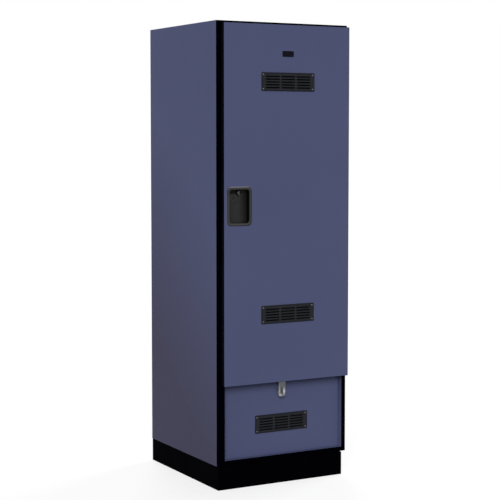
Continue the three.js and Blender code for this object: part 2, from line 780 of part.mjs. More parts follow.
// Full-width hinge on top of the lid and the rail: its knuckles alternate along one pin
function lidHinge(left, right) {
  const pitch = (right - left) / lidKnuckles;
  const leafTop = seatHeight + leafThickness;
  const leaves = {
    lid_hinge_fixed_leaf: [0, block([left, lidPinY, seatHeight], [right, lidPinY + leafWidth, leafTop])],
    lid_hinge_moving_leaf: [1, block([left, lidPinY - leafWidth, seatHeight], [right, lidPinY, leafTop])],
  };
  const bore = rodAlongX(lidPinRadius + runningGap, left - overrun, right + overrun, lidPinY, lidPinZ);
  for (const [name, [parity, leaf]] of Object.entries(leaves)) {
    let body = solid(leaf);
    for (let place = 0; place < lidKnuckles; place += 1) {
      const start = left + place * pitch;
      if (place % 2 === parity) {
        const knuckle = rodAlongX(
          lidKnuckleRadius, start + knuckleEndGap, start + pitch - knuckleEndGap, lidPinY, lidPinZ,
        );
        body = body.add(solid(knuckle));
      } else {
        const room = rodAlongX(lidKnuckleRadius + lidPinLift, start, start + pitch, lidPinY, lidPinZ);
        body = body.subtract(solid(room));
      }
    }
    piece(name, zinc, surface(cut(body, bore)));
  }
  piece('lid_hinge_pin', zinc, rodAlongX(lidPinRadius, left, right, lidPinY, lidPinZ));
}

// Hasp: a leaf on the lid's front edge, and a slotted strap that hangs from it in front of the staple
function hasp() {
  const left = haspFromLeft - haspWidth / 2;
  const right = haspFromLeft + haspWidth / 2;
  const innerLeft = haspFromLeft - haspKnuckleWidth / 2;
  const innerRight = haspFromLeft + haspKnuckleWidth / 2;
  const leafFront = lidNosing - haspThickness;
  const leaf = block([left, leafFront, haspPinZ], [right, lidNosing, seatHeight - bandThickness]);
  const barrel = rodAlongX(haspKnuckleRadius, left, right, haspPinY, haspPinZ);
  const reach = haspKnuckleRadius + runningGap * 2;
  const room = block(
    [innerLeft - runningGap * 2, haspPinY - reach, haspPinZ - reach],
    [innerRight + runningGap * 2, haspPinY + reach + overrun, haspPinZ + reach],
  );
  const bore = rodAlongX(haspPinRadius + runningGap, left - overrun, right + overrun, haspPinY, haspPinZ);
  piece('hasp_leaf', zinc, surface(cut(join(leaf, barrel), room, bore)));
  piece('hasp_pin', zinc, rodAlongX(haspPinRadius, left, right, haspPinY, haspPinZ));

  const shoulder = haspPinZ - haspKnuckleRadius - haspShoulder;
  const bladeHeight = shoulder - haspBottom;
  const blade = facing(
    roundedRectangle(haspWidth, bladeHeight, haspCornerRadius), haspPinY - haspThickness / 2, haspBack,
  );
  blade.translate(haspFromLeft, 0, haspBottom + bladeHeight / 2);
  const upper = block(
    [left, haspPinY - haspThickness / 2, haspBottom + bladeHeight / 2],
    [right, haspBack, shoulder],
  );
  const neck = block(
    [innerLeft, haspPinY - haspThickness / 2, shoulder - haspThickness],
    [innerRight, haspBack, haspPinZ],
  );
  const knuckle = rodAlongX(haspKnuckleRadius, innerLeft, innerRight, haspPinY, haspPinZ);
  const slot = facing(
    roundedRectangle(haspSlotWidth, haspSlotHeight, haspSlotWidth / 4),
    haspPinY - overrun, haspPinY + overrun,
  );
  slot.translate(haspFromLeft, 0, slotCentre);
  piece('hasp_strap', zinc, surface(cut(join(blade, upper, neck, knuckle), slot, bore)));
}

// Staple on the foot locker's front, for a padlock once the strap hangs over it
function staple() {
  const base = block(
    [haspFromLeft - staplePlateWidth / 2, footRecess - staplePlate, slotCentre - staplePlateHeight / 2],
    [haspFromLeft + staplePlateWidth / 2, footRecess, slotCentre + staplePlateHeight / 2],
  );
  const left = haspFromLeft - stapleThickness / 2;
  const right = haspFromLeft + stapleThickness / 2;
  const roundness = stapleHeight / 3;
  const eye = new THREE.Shape();
  eye.moveTo(footRecess, slotCentre - stapleHeight / 2);
  eye.lineTo(footRecess, slotCentre + stapleHeight / 2);
  eye.lineTo(stapleTip + roundness, slotCentre + stapleHeight / 2);
  eye.absarc(
    stapleTip + roundness, slotCentre + stapleHeight / 2 - roundness, roundness, Math.PI / 2, Math.PI,
  );
  eye.absarc(
    stapleTip + roundness, slotCentre - stapleHeight / 2 + roundness, roundness, Math.PI, Math.PI * 1.5,
  );
  eye.closePath();
  const hole = sideways(
    roundedRectangle(stapleHoleDepth, stapleHoleHeight, stapleHoleRadius), left - overrun, right + overrun,
  );
  hole.translate(0, stapleTip + stapleTipWall + stapleHoleDepth / 2, slotCentre);
  piece('hasp_staple', zinc, surface(cut(join(base, sideways(eye, left, right)), hole)));
}

carcass();
plinth();
coatRod();
coatHook('left', leftInner, 1);
coatHook('right', rightInner, -1);
footLocker();
hasp();
staple();
doorLeaf();
vent('upper_vent', doorCentre, upperVentHeight, doorFront);
vent('lower_vent', doorCentre, lowerVentHeight, doorFront);
numberPlate();
handle();
padlockEye();
for (const [place, height] of Object.entries(hingeHeights)) {
  concealedHinge(place, height);
}

export default locker;
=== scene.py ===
import json
from math import cos, pi, radians, sin, sqrt, tau
from types import SimpleNamespace

import bmesh
import bpy
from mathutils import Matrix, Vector
from mathutils.geometry import tessellate_polygon

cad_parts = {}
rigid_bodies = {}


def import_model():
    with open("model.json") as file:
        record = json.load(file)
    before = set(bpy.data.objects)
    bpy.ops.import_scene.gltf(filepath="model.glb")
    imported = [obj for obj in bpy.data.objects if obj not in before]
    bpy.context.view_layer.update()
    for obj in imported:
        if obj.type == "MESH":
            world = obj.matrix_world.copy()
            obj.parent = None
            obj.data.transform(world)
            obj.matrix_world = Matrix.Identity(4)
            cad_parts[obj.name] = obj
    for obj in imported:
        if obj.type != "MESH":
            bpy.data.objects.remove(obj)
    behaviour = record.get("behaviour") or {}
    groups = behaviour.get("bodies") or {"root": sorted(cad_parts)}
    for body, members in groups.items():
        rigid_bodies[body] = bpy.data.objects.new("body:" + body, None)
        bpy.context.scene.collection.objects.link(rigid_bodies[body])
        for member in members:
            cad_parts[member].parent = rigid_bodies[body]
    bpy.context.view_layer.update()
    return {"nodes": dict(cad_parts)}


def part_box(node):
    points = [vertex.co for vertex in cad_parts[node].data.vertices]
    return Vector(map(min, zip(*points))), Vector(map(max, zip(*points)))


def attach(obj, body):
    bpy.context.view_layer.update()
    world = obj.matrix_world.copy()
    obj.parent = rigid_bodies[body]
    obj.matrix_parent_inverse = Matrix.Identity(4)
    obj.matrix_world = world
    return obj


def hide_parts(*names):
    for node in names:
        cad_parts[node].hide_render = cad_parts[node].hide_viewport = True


for leftover in list(bpy.data.objects):  # the startup cube, lamp and camera
    bpy.data.objects.remove(leftover, do_unlink=True)

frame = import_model()
scene = bpy.context.scene
mm = 0.001
forward, backward, upward = (0, -1, 0), (0, 1, 0), (0, 0, 1)
rightward, leftward = (1, 0, 0), (-1, 0, 0)
corners = ((1, 1), (-1, 1), (-1, -1), (1, -1))  # right or left, top or bottom, once round a plate
creaseAngle = radians(32)  # edges sharper than this are eased and shaded crisp
print("frame loaded:", len(frame["nodes"]), "nodes")


# shapes: sizes in millimetres, made at their place in the frame

# A place on a surface: turns across, up and out (along the normal) into a point
def facing(centre, normal):
    centre, normal = Vector(centre), Vector(normal)
    up = Vector((0, 1, 0)) if abs(normal.z) > 0.5 else Vector((0, 0, 1))
    across = up.cross(normal)
    return lambda a, b, out: centre + (across * a + up * b + normal * out) * mm


# A node's box: corners and middle in metres, and its width, depth and height in millimetres
def measure(node):
    low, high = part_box(node)
    width, depth, height = (high - low) / mm
    middle = (low + high) / 2
    return SimpleNamespace(low=low, high=high, middle=middle, width=width, depth=depth, height=height)


# A place on the rear face of a node's box, looking forward
def onRear(box):
    return facing((box.middle.x, box.high.y, box.middle.z), forward)


# A place on a node's side: the one that the normal starts from, or the far one
def onSide(box, normal, far=False):
    x = box.high.x if (normal == rightward) == far else box.low.x
    return facing((x, box.middle.y, box.middle.z), normal)


# Several of a piece's sizes at once
def pick(sizes, names):
    return [sizes[name] for name in names.split()]


def rounded(width, height, radius, steps=8, shift=(0, 0)):
    points = []
    for quarter, (right, top) in enumerate(corners):
        for step in range(steps + 1):
            angle = (quarter + step / steps) * pi / 2
            points.append((
                shift[0] + right * (width / 2 - radius) + radius * cos(angle),
                shift[1] + top * (height / 2 - radius) + radius * sin(angle),
            ))
    return points


def circle(radius, steps=32, shift=(0, 0)):
    turns = [step / steps * tau for step in range(steps)]
    return [(shift[0] + radius * cos(turn), shift[1] + radius * sin(turn)) for turn in turns]


# Part of a circle, from one angle to another in degrees
def arc(a, b, radius, start, end, steps=8):
    turns = [radians(start + (end - start) * step / steps) for step in range(steps + 1)]
    return [(a + radius * cos(turn), b + radius * sin(turn)) for turn in turns]


# A tongue from its square rear to a tip at zero, with a radius for its lower and its upper corner
def tongue(rear, tall, low, high, steps=8):
    half = tall / 2
    lower, upper = arc(-low, -half + low, low, -90, 0, steps), arc(-high, half - high, high, 0, 90, steps)
    return [(rear, -half), *lower, *upper, (rear, half)]


def addRing(shape, place, outline, out):
    return [shape.verts.new(place(a, b, out)) for a, b in outline]


# Faces between two rings, of which one may be a single tip
def addWalls(shape, first, second):
    if len(second) == 1:
        first, second = second, first
    for here in range(len(second)):
        after = (here + 1) % len(second)
        if len(first) == 1:
            shape.faces.new((first[0], second[here], second[after]))
        else:
            shape.faces.new((first[here], first[after], second[after], second[here]))


# Flat face inside the first ring, with the other rings as holes
def addFlat(shape, *rings):
    verts = [vert for ring in rings for vert in ring]
    outlines = [[vert.co / mm for vert in ring] for ring in rings]
    for triangle in tessellate_polygon(outlines):
        if len(set(triangle)) == 3:
            shape.faces.new([verts[corner] for corner in triangle])


# Joins rings one after the other, and may close both ends with a flat face
def joinRings(shape, rings, capped=True):
    for first, second in zip(rings, rings[1:]):
        addWalls(shape, first, second)
    if capped:
        addFlat(shape, rings[0])
        addFlat(shape, rings[-1])


def stack(place, levels):
    shape = bmesh.new()
    joinRings(shape, [addRing(shape, place, outline, out) for outline, out in levels])
    return shape


# A closed bar of one section: a slab, a knuckle, or what cuts a slot or a bore
def bar(place, outline, start, end):
    return stack(place, [(outline, start), (outline, end)])


# A plate with holes: round ones by their spots and radius, others by their outline
def plate(place, outline, back, front, spots=(), radius=0, steps=20, holes=()):
    shape = bmesh.new()
    rear, face = [], []
    for ring in (outline, *(circle(radius, steps, spot) for spot in spots), *holes):
        rear.append(addRing(shape, place, ring, back))
        face.append(addRing(shape, place, ring, front))
    for first, second in zip(rear, face):
        addWalls(shape, first, second)
    addFlat(shape, *rear)
    addFlat(shape, *face)
    return shape


# Levels from a box's flat back forward and over a rim. Each row of the rim says how much smaller
# than the box it is, its corner radius, and how far it lies below the front
def rimLevels(box, rows):
    levels = [(rounded(box.width - less, box.height - less, corner), box.depth - drop)
              for less, corner, drop in rows]
    return [(levels[0][0], 0), *levels]


# A turned form: profile points are (radius, out), and a radius of zero closes it
def turned(place, profile, steps=32, closed=False, shape=None):
    shape = bmesh.new() if shape is None else shape
    rings = [
        addRing(shape, place, circle(radius, steps) if radius else [(0, 0)], out) for radius, out in profile
    ]
    joinRings(shape, rings + rings[:1] if closed else rings, capped=False)
    return shape


# A round wire that follows points in metres; its ends are domed by a last, smaller section
def wire(points, radius, steps, domeReach=0.5, domeShare=0.75):
    shape = bmesh.new()
    tangents = []
    for here in range(len(points)):
        before, after = points[max(here - 1, 0)], points[min(here + 1, len(points) - 1)]
        tangents.append((after - before).normalized())
    start = points[0] - tangents[0] * radius * mm * domeReach
    end = points[-1] + tangents[-1] * radius * mm * domeReach
    sections = [(start, tangents[0], domeShare)]
    sections += [(point, tangent, 1) for point, tangent in zip(points, tangents)]
    sections.append((end, tangents[-1], domeShare))
    side = tangents[0].orthogonal().normalized()
    rings = []
    for point, tangent, share in sections:
        side = (side - tangent * side.dot(tangent)).normalized()
        other = tangent.cross(side)
        rings.append([
            shape.verts.new(point + (side * a + other * b) * mm)
            for a, b in circle(radius * share, steps)
        ])
    joinRings(shape, rings)
    return shape


screwHead = {
    "steps": 32,
    "dome": ((1, 0), (1, 0.35), (0.94, 0.62), (0.82, 0.82), (0.66, 0.94)),  # shares of radius and rise
    "recess": ((0.55, 0.13, 0.97), (0.42, 0.09, 0.3)),  # reach and half width of an arm, and height
    "turn": pi / 8,  # between one screw and the next
}


# A screw head with a cross recess, standing on a surface
def addScrew(shape, place, radius, rise, turn=0.0):
    steps = screwHead["steps"]
    levels = [(circle(radius * share, steps), rise * up) for share, up in screwHead["dome"]]
    first = round(turn / tau * steps)
    for reach, waist, up in screwHead["recess"]:
        cross = []
        for step in range(steps):
            angle = step / steps * tau
            fromArm = (angle + pi / 4) % (pi / 2) - pi / 4
            span = min(reach, waist / max(abs(sin(fromArm)), 1e-6)) * radius
            cross.append((span * cos(angle + turn), span * sin(angle + turn)))
        levels.append((cross[-first % steps:] + cross[:-first % steps], rise * up))
    joinRings(shape, [addRing(shape, place, outline, out) for outline, out in levels])


def addObject(name, data):
    thing = bpy.data.objects.new(name, data)
    scene.collection.objects.link(thing)
    return thing


def makeObject(name, shape):
    bmesh.ops.recalc_face_normals(shape, faces=shape.faces)
    mesh = bpy.data.meshes.new(name)
    shape.to_mesh(mesh)
    shape.free()
    return addObject(name, mesh)


# Cuts, or joins, one closed shape by another, and clears the slivers along the cut
def combine(shape, other, operation):
    sliver, flatWithin = 2e-5, radians(0.5)
    holders = [makeObject("working", part) for part in (shape, other)]
    boolean = holders[0].modifiers.new("combine", "BOOLEAN")
    boolean.operation = operation
    boolean.solver = "EXACT"
    boolean.object = holders[1]
    shown = holders[0].evaluated_get(bpy.context.evaluated_depsgraph_get())
    result = bmesh.new()
    result.from_mesh(shown.to_mesh())
    shown.to_mesh_clear()
    bmesh.ops.remove_doubles(result, verts=result.verts, dist=sliver)
    bmesh.ops.dissolve_degenerate(result, edges=result.edges, dist=sliver)
    bmesh.ops.dissolve_limit(result, angle_limit=flatWithin, verts=result.verts, edges=result.edges,
                             delimit={"NORMAL"})
    for holder in holders:
        mesh = holder.data
        bpy.data.objects.remove(holder, do_unlink=True)
        bpy.data.meshes.remove(mesh)
    return result


def addEase(thing, width, segments=3):
    bevel = thing.modifiers.new("eased edges", "BEVEL")
    bevel.width = width * mm
    bevel.segments = segments
    bevel.limit_method = "ANGLE"
    bevel.angle_limit = creaseAngle
    bevel.harden_normals = True


def addPiece(name, shape, body, finish, standsFor=(), ease=0.0):
    bmesh.ops.remove_doubles(shape, verts=shape.verts, dist=1e-7)
    piece = makeObject(name, shape)
    piece.data.shade_smooth()
    piece.data.set_sharp_from_angle(angle=creaseAngle)
    piece.data.materials.append(finish)
    if ease:
        addEase(piece, ease)
    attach(piece, body)
    if standsFor:
        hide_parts(*standsFor)


# Screw heads on a surface as one piece, each turned on from the one before. Their size is the
# radius, the rise, and how far they are let into the surface
def addScrews(node, place, spots, surface, normal, size, body, finish, turn=screwHead["turn"]):
    radius, rise, sink = size
    screws = bmesh.new()
    for count, (a, b) in enumerate(spots):
        addScrew(screws, facing(place(a, b, surface - sink), normal), radius, rise, count * turn)
    addPiece(f"{node}_screws", screws, body, finish)


# finishes

def addNode(tree, kind, inputs=None, **settings):
    made = tree.nodes.new("ShaderNode" + kind)
    for name, value in settings.items():
        setattr(made, name, value)
    for name, value in (inputs or {}).items():
        if isinstance(value, bpy.types.NodeSocket):
            tree.links.new(value, made.inputs[name])
        else:
            made.inputs[name].default_value = value
    return made


def newFinish(name):
    finish = bpy.data.materials.new(name)
    finish.use_nodes = True
    tree = finish.node_tree
    tree.nodes.clear()
    place = addNode(tree, "TexCoord").outputs["Object"]
    return finish, tree, place


def closeWith(finish, tree, inputs):
    shader = addNode(tree, "BsdfPrincipled", inputs)
    addNode(tree, "OutputMaterial", {"Surface": shader.outputs[0]})
    return finish


def noise(tree, place, scale, detail=2.0, stretch=None):
    if stretch:
        place = addNode(tree, "Mapping", {"Vector": place, "Scale": stretch}).outputs["Vector"]
    inputs = {"Vector": place, "Scale": scale, "Detail": detail}
    return addNode(tree, "TexNoise", inputs).outputs["Fac"]


def numberMath(tree, operation, first, second):
    return addNode(tree, "Math", {0: first, 1: second}, operation=operation).outputs[0]


def vectorMath(tree, operation, *vectors, output="Vector"):
    made = addNode(tree, "VectorMath", dict(enumerate(vectors)), operation=operation)
    return made.outputs[output]


def remap(tree, value, low, high, fromLow=0.3, fromHigh=0.7):
    inputs = {"Value": value, "From Min": fromLow, "From Max": fromHigh, "To Min": low, "To Max": high}
    return addNode(tree, "MapRange", inputs).outputs["Result"]


# From low to high between two distances from a place, in millimetres along one axis
def ramp(tree, along, start, distances, low=0, high=1):
    near, far = (start + distance * mm for distance in distances)
    return remap(tree, along, low, high, near, far)


# A mix node has its colours in sockets 6 and 7, and the blended one in 2
def blend(tree, factor, first, second):
    return addNode(tree, "Mix", {0: factor, 6: first, 7: second}, data_type="RGBA").outputs[2]


# Screen values from 0 to 255, turned into the linear colour that a shader takes
def colour(*screen):
    shares = [value / 255 for value in screen]
    return (*[part / 12.92 if part <= 0.04045 else ((part + 0.055) / 1.055) ** 2.4 for part in shares], 1)


def scaled(shade, share):
    return (*[min(part * share, 1) for part in shade[:3]], 1)


def mottled(tree, pattern, shade, dark, pale):
    return blend(tree, remap(tree, pattern, 0, 1), scaled(shade, dark), scaled(shade, pale))


# Paler along the edges, as wear on boards, bands and plastics and as a painted highlight on the padlock eye,
# hasp strap and staple loop: reach in millimetres, how far it goes, and how much paler.
# Worn and flat are the cosines between true and eased surface where it is full and where it ends
def paleEdgesWornAndLit(tree, tone, shade, reach, strength, gain, worn=0.75, flat=0.995):
    eased = addNode(tree, "Bevel", {"Radius": reach * mm}, samples=6).outputs["Normal"]
    plain = addNode(tree, "NewGeometry").outputs["Normal"]
    alike = vectorMath(tree, "DOT_PRODUCT", eased, plain, output="Value")
    return blend(tree, remap(tree, alike, strength, 0, worn, flat), tone, scaled(shade, gain))


def bump(tree, height, depth, strength, below=None):
    inputs = {"Height": height, "Distance": depth * mm, "Strength": strength}
    if below:
        inputs["Normal"] = below
    return addNode(tree, "Bump", inputs).outputs["Normal"]


laminateLook = {
    "face": colour(74, 79, 109),
    "low": colour(62, 60, 79),  # the painted floor shade that the end panel greys to
    "paintedShadeAlong": (0, -0.9, 1),  # towards the floor, and more so at the rear
    "paintedShadeSpan": (0.3, 1.3),  # in metres along that
    "cloudScale": 2.2, "cloudTones": (0.97, 1.03), "edgeWearAndHighlight": (0.9, 0.35, 1.9),
    "fleckScale": 750, "fleckSpan": (0.5, 0.72), "fleckShare": 0.5, "fleckTone": 1.14,
    "suedeScale": 1300, "suedeDepth": 0.05, "roughScale": 26, "roughness": (0.52, 0.58), "specular": 0.04,
}


# Suede-faced laminate: even colour with a fine fleck, a soft texture and slightly rubbed edges; the end
# panel also gets a painted shade, greyer and darker towards the floor
def laminateFinish(name, paintedFloorShade=False):
    look = laminateLook
    finish, tree, place = newFinish(name)
    tone = mottled(tree, noise(tree, place, look["cloudScale"], 3), look["face"], *look["cloudTones"])
    if paintedFloorShade:
        # painted shade: greyer, warmer and darker towards the floor and more so at the rear
        leaning = vectorMath(tree, "DOT_PRODUCT", place, look["paintedShadeAlong"], output="Value")
        tone = blend(tree, remap(tree, leaning, 1, 0, *look["paintedShadeSpan"]), tone, look["low"])
    fleck = remap(tree, noise(tree, place, look["fleckScale"], 1), 0, look["fleckShare"],
                  *look["fleckSpan"])
    tone = blend(tree, fleck, tone, scaled(look["face"], look["fleckTone"]))
    return closeWith(finish, tree, {
        "Base Color": paleEdgesWornAndLit(tree, tone, look["face"], *look["edgeWearAndHighlight"]),
        "Roughness": remap(tree, noise(tree, place, look["roughScale"], 3), *look["roughness"]),
        "Specular IOR Level": look["specular"],
        "Normal": bump(tree, noise(tree, place, look["suedeScale"], 2), look["suedeDepth"], 0.5),
    })


blackLook = {
    "dustScale": 9, "dustTones": (1, 1.5), "ribScale": 900, "ribStretch": (1, 1, 0.12), "ribDepth": 0.04,
}


# Black laminate and edge band: near black, with a faint ribbed texture and paler rubbed corners
def blackFinish(name, shade, specular, roughness, edgeWearAndHighlight):
    finish, tree, place = newFinish(name)
    dust = noise(tree, place, blackLook["dustScale"], 4)
    ribs = noise(tree, place, blackLook["ribScale"], 2, blackLook["ribStretch"])
    tone = mottled(tree, dust, shade, *blackLook["dustTones"])
    return closeWith(finish, tree, {
        "Base Color": paleEdgesWornAndLit(tree, tone, shade, *edgeWearAndHighlight),
        "Roughness": remap(tree, dust, *roughness),
        "Specular IOR Level": specular,
        "Normal": bump(tree, ribs, blackLook["ribDepth"], 0.5),
    })


plasticLook = {
    "cellScale": 900.0, "cellDepth": 0.05, "fineScale": 2600,
    "cloudScale": 30, "cloudTones": (0.88, 1.12), "edgeWearAndHighlight": (0.6, 0.3, 1.8),
}


# Moulded black plastic with a fine leather-like grain; an optional function paints light and shade into its
# tone
def plasticFinish(name, shade, specular, paintedLightAndShade=None, roughness=(0.42, 0.56)):
    look = plasticLook
    finish, tree, place = newFinish(name)
    cells = addNode(tree, "TexVoronoi", {"Vector": place, "Scale": look["cellScale"]})
    cloud = noise(tree, place, look["cloudScale"], 3)
    tone = mottled(tree, cloud, shade, *look["cloudTones"])
    if paintedLightAndShade:
        tone = paintedLightAndShade(tree, place, tone, shade)
    coarse = bump(tree, cells.outputs["Distance"], look["cellDepth"], 0.5)
    return closeWith(finish, tree, {
        "Base Color": paleEdgesWornAndLit(tree, tone, shade, *look["edgeWearAndHighlight"]),
        "Roughness": remap(tree, cloud, *roughness),
        "Specular IOR Level": specular,
        "Normal": bump(tree, noise(tree, place, look["fineScale"], 2), look["cellDepth"] / 3, 0.4, coarse),
    })


steelLook = {
    "rollScale": 1500, "rollDepth": 0.02, "patchScale": 90, "patchTones": (0.82, 1.08), "metallic": 0.92,
}


# Zinc-plated steel: rolling marks, small dull patches and brighter edges; an optional function paints light
# into its tone
def steelFinish(name, shade, roughness=(0.28, 0.46), along=(1, 1, 0.08), edgeWearAndHighlight=(0.35, 0.4, 1.35),
                paintedLightAndShade=None):
    look = steelLook
    finish, tree, place = newFinish(name)
    patches = noise(tree, place, look["patchScale"], 4)
    tone = mottled(tree, patches, shade, *look["patchTones"])
    if paintedLightAndShade:
        tone = paintedLightAndShade(tree, place, tone, shade)
    return closeWith(finish, tree, {
        "Base Color": paleEdgesWornAndLit(tree, tone, shade, *edgeWearAndHighlight),
        "Metallic": look["metallic"],
        "Roughness": remap(tree, patches, *roughness),
        "Normal": bump(tree, noise(tree, place, look["rollScale"], 2, along), look["rollDepth"], 0.45),
    })


chromeLook = {
    "wipeScale": 60, "wipeStretch": (0.3, 1, 1), "roughness": (0.1, 0.2),
    "hairScale": 2400, "hairStretch": (0.04, 1, 1), "hairDepth": 0.01,
}


# Chrome: a clear shine with faint wiping marks
def chromeFinish(name, dark, pale):
    look = chromeLook
    finish, tree, place = newFinish(name)
    wiped = noise(tree, place, look["wipeScale"], 4, look["wipeStretch"])
    hairlines = noise(tree, place, look["hairScale"], 1, look["hairStretch"])
    return closeWith(finish, tree, {
        "Base Color": blend(tree, remap(tree, wiped, 0, 1), dark, pale),
        "Metallic": 1.0,
        "Roughness": remap(tree, wiped, *look["roughness"]),
        "Normal": bump(tree, hairlines, look["hairDepth"], 0.3),
    })


bumperLook = {
    "cloudScale": 400, "grainScale": 1800, "grainDepth": 0.05, "roughness": (0.5, 0.65), "subsurface": 0.15,
}


# Soft milky plastic of the door bumpers
def bumperFinish(name, dark, pale):
    look = bumperLook
    finish, tree, place = newFinish(name)
    cloud = noise(tree, place, look["cloudScale"], 3)
    return closeWith(finish, tree, {
        "Base Color": blend(tree, remap(tree, cloud, 0, 1), dark, pale),
        "Roughness": remap(tree, cloud, *look["roughness"]),
        "Subsurface Weight": look["subsurface"],
        "Normal": bump(tree, noise(tree, place, look["grainScale"], 2), look["grainDepth"], 0.4),
    })


blue = laminateFinish("blue laminate")
endBlue = laminateFinish("blue laminate of the end panel, with painted floor shade", paintedFloorShade=True)
plinthBlack = blackFinish("black laminate", (0.0004, 0.0004, 0.0008, 1), 0.002, (0.5, 0.65), (0.7, 0.25, 5))
carcassBand = blackFinish("black edge band", (0.0004, 0.0004, 0.0012, 1), 0.002, (0.45, 0.6), (0.7, 0.3, 5))
doorBand = blackFinish("dark edge band of the door", (0.0022, 0.0022, 0.0045, 1), 0.012, (0.42, 0.58),
                       (0.7, 0.3, 5))
screwGrey = steelFinish("grey screws of the vents", (0.13, 0.13, 0.135, 1), (0.3, 0.45))
zincShade = (0.163, 0.165, 0.174, 1)
zinc = steelFinish("zinc-plated steel", zincShade)
zincAlong = steelFinish("zinc-plated steel, rolled lengthwise", zincShade, along=(0.08, 1, 1))
chrome = chromeFinish("chrome", (0.62, 0.63, 0.65, 1), (0.74, 0.75, 0.77, 1))
milky = bumperFinish("milky plastic", (0.55, 0.55, 0.5, 1), (0.66, 0.66, 0.62, 1))
print("finishes made")


# boards and bands: the CAD's own solids, with eased edges and their finish

def dress(node, finish, ease):
    thing = frame["nodes"][node]
    for holder in thing.material_slots:
        holder.link = "OBJECT"
        holder.material = finish
    if ease:
        weld = thing.modifiers.new("weld", "WELD")
        weld.merge_threshold = 1e-5
        addEase(thing, ease, 2)


boards = ("left_side", "right_side", "bottom_panel", "top_panel", "back_panel", "hat_shelf",
          "footlocker_front", "footlocker_lid", "lid_rail", "door")
banded = ("end_panel", "left_side", "right_side", "bottom_panel", "top_panel", "hat_shelf", "footlocker_lid")
hingeLevels = ("lower", "middle", "upper")
dressing = (  # nodes, their finish, and the width of the eased edges
    (boards, blue, 0.35),
    (["end_panel"], endBlue, 0.35),
    ([f"plinth_{side}" for side in ("front", "rear", "left", "right")], plinthBlack, 0.5),
    (["door_edge_band"], doorBand, 0.5),
    ([f"{board}_edge_band" for board in banded], carcassBand, 0.3),
    (["cup_backing_plate", *(f"hinge_arm_{level}" for level in hingeLevels)], zinc, 0.3),
    ([*(f"hinge_pin_{level}" for level in hingeLevels), "lid_hinge_pin", "hasp_pin"], zinc, 0),
)
for nodes, finish, ease in dressing:
    for node in nodes:
        dress(node, finish, ease)
print("boards dressed")


# vents: a crowned border round a field of slots, which climb on their way in

vent = {
    "crown": 1.2,  # how far the border stands over the field
    "rim": ((0, 4, 1.1), (0.7, 3.65, 0.35), (2.2, 2.9, 0), (7.2, 2.6, 0), (9, 2.2, 0.45), (10, 1.8, 1.2)),
    "sideMargin": 20, "endMargin": 12.5, "columns": 3, "columnRib": 9, "rows": 5, "rowRib": 6.2,
    "mouth": ((1, 1.9, 0), (0.2, 1.6, 0.5)),  # wider than the slot, corner, depth below the field
    "slotCorner": 1.5,
    "climb": 1.7,  # of a slot, below and above its middle
    "padDepth": 3.5,  # thickening behind the field, inside the board's cutout
    "padGrow": 3, "padCorner": 2, "screwInset": 8.5, "screw": (3.2, 1.1, 0),
    "shade": (0.0119, 0.0128, 0.0156, 1), "specular": 0.1,
    "slotShadeDepth": (0.2, 1.2),  # behind the field's face, where the painted shade in the slots sets in
    "slotShadeTone": 0.12, "borderRise": (-1, -0.5), "borderTone": 0.6,
}


# Painted shade inside the slots, and a border that is darker than the ribs
def ventSlotShade(fieldFace):
    def paintedLightAndShade(tree, place, tone, shade):
        behind = addNode(tree, "SeparateXYZ", {"Vector": place}).outputs["Y"]
        # painted shade inside the slots
        inside = ramp(tree, behind, fieldFace, vent["slotShadeDepth"])
        tone = blend(tree, inside, tone, scaled(shade, vent["slotShadeTone"]))
        border = ramp(tree, behind, fieldFace, vent["borderRise"], 1, 0)
        return blend(tree, border, tone, scaled(shade, vent["borderTone"]))

    return paintedLightAndShade


def makeVent(node, body):
    box = measure(node)
    place = onRear(box)
    crown, columns, columnRib, rows, rowRib = pick(vent, "crown columns columnRib rows rowRib")
    grow, padDepth, climb, inset = pick(vent, "padGrow padDepth climb screwInset")
    ventBlack = plasticFinish(f"black plastic of the {node}", vent["shade"], vent["specular"],
                              ventSlotShade(box.low.y + crown * mm))
    field = box.depth - crown
    shape = bmesh.new()
    outside = [addRing(shape, place, outline, out) for outline, out in rimLevels(box, vent["rim"])]
    joinRings(shape, outside, capped=False)
    insideWidth = box.width - vent["sideMargin"] * 2
    insideHeight = box.height - vent["endMargin"] * 2
    slotWidth = (insideWidth - columnRib * (columns - 1)) / columns
    slotHeight = (insideHeight - rowRib * (rows - 1)) / rows
    padOutline = rounded(insideWidth + grow, insideHeight + grow, vent["padCorner"])
    pad, padBack = (addRing(shape, place, padOutline, out) for out in (0, -padDepth))
    addWalls(shape, pad, padBack)
    addFlat(shape, outside[0], pad)
    front, rear = [outside[-1]], [padBack]
    for column in range(columns):
        a = -insideWidth / 2 + slotWidth / 2 + column * (slotWidth + columnRib)
        for row in range(rows):
            b = -insideHeight / 2 + slotHeight / 2 + row * (slotHeight + rowRib)
            lips = []
            for wider, corner, sink in vent["mouth"]:
                lip = rounded(slotWidth + wider, slotHeight + wider, corner, 5, (a, b - climb))
                lips.append(addRing(shape, place, lip, field - sink))
            end = rounded(slotWidth, slotHeight, vent["slotCorner"], 5, (a, b + climb))
            lips.append(addRing(shape, place, end, -padDepth))
            joinRings(shape, lips, capped=False)
            front.append(lips[0])
            rear.append(lips[-1])
    addFlat(shape, *front)
    addFlat(shape, *rear)
    addPiece(f"{node}_grille", shape, body, ventBlack, [node])
    spots = [(right * (box.width / 2 - inset), top * (box.height / 2 - inset)) for right, top in corners]
    addScrews(node, place, spots, field, forward, vent["screw"], body, screwGrey)


makeVent("upper_vent", "door")
makeVent("lower_vent", "door")
makeVent("footlocker_vent", "carcass")
print("vents made")


# number plate: a bare plate with a raised rim

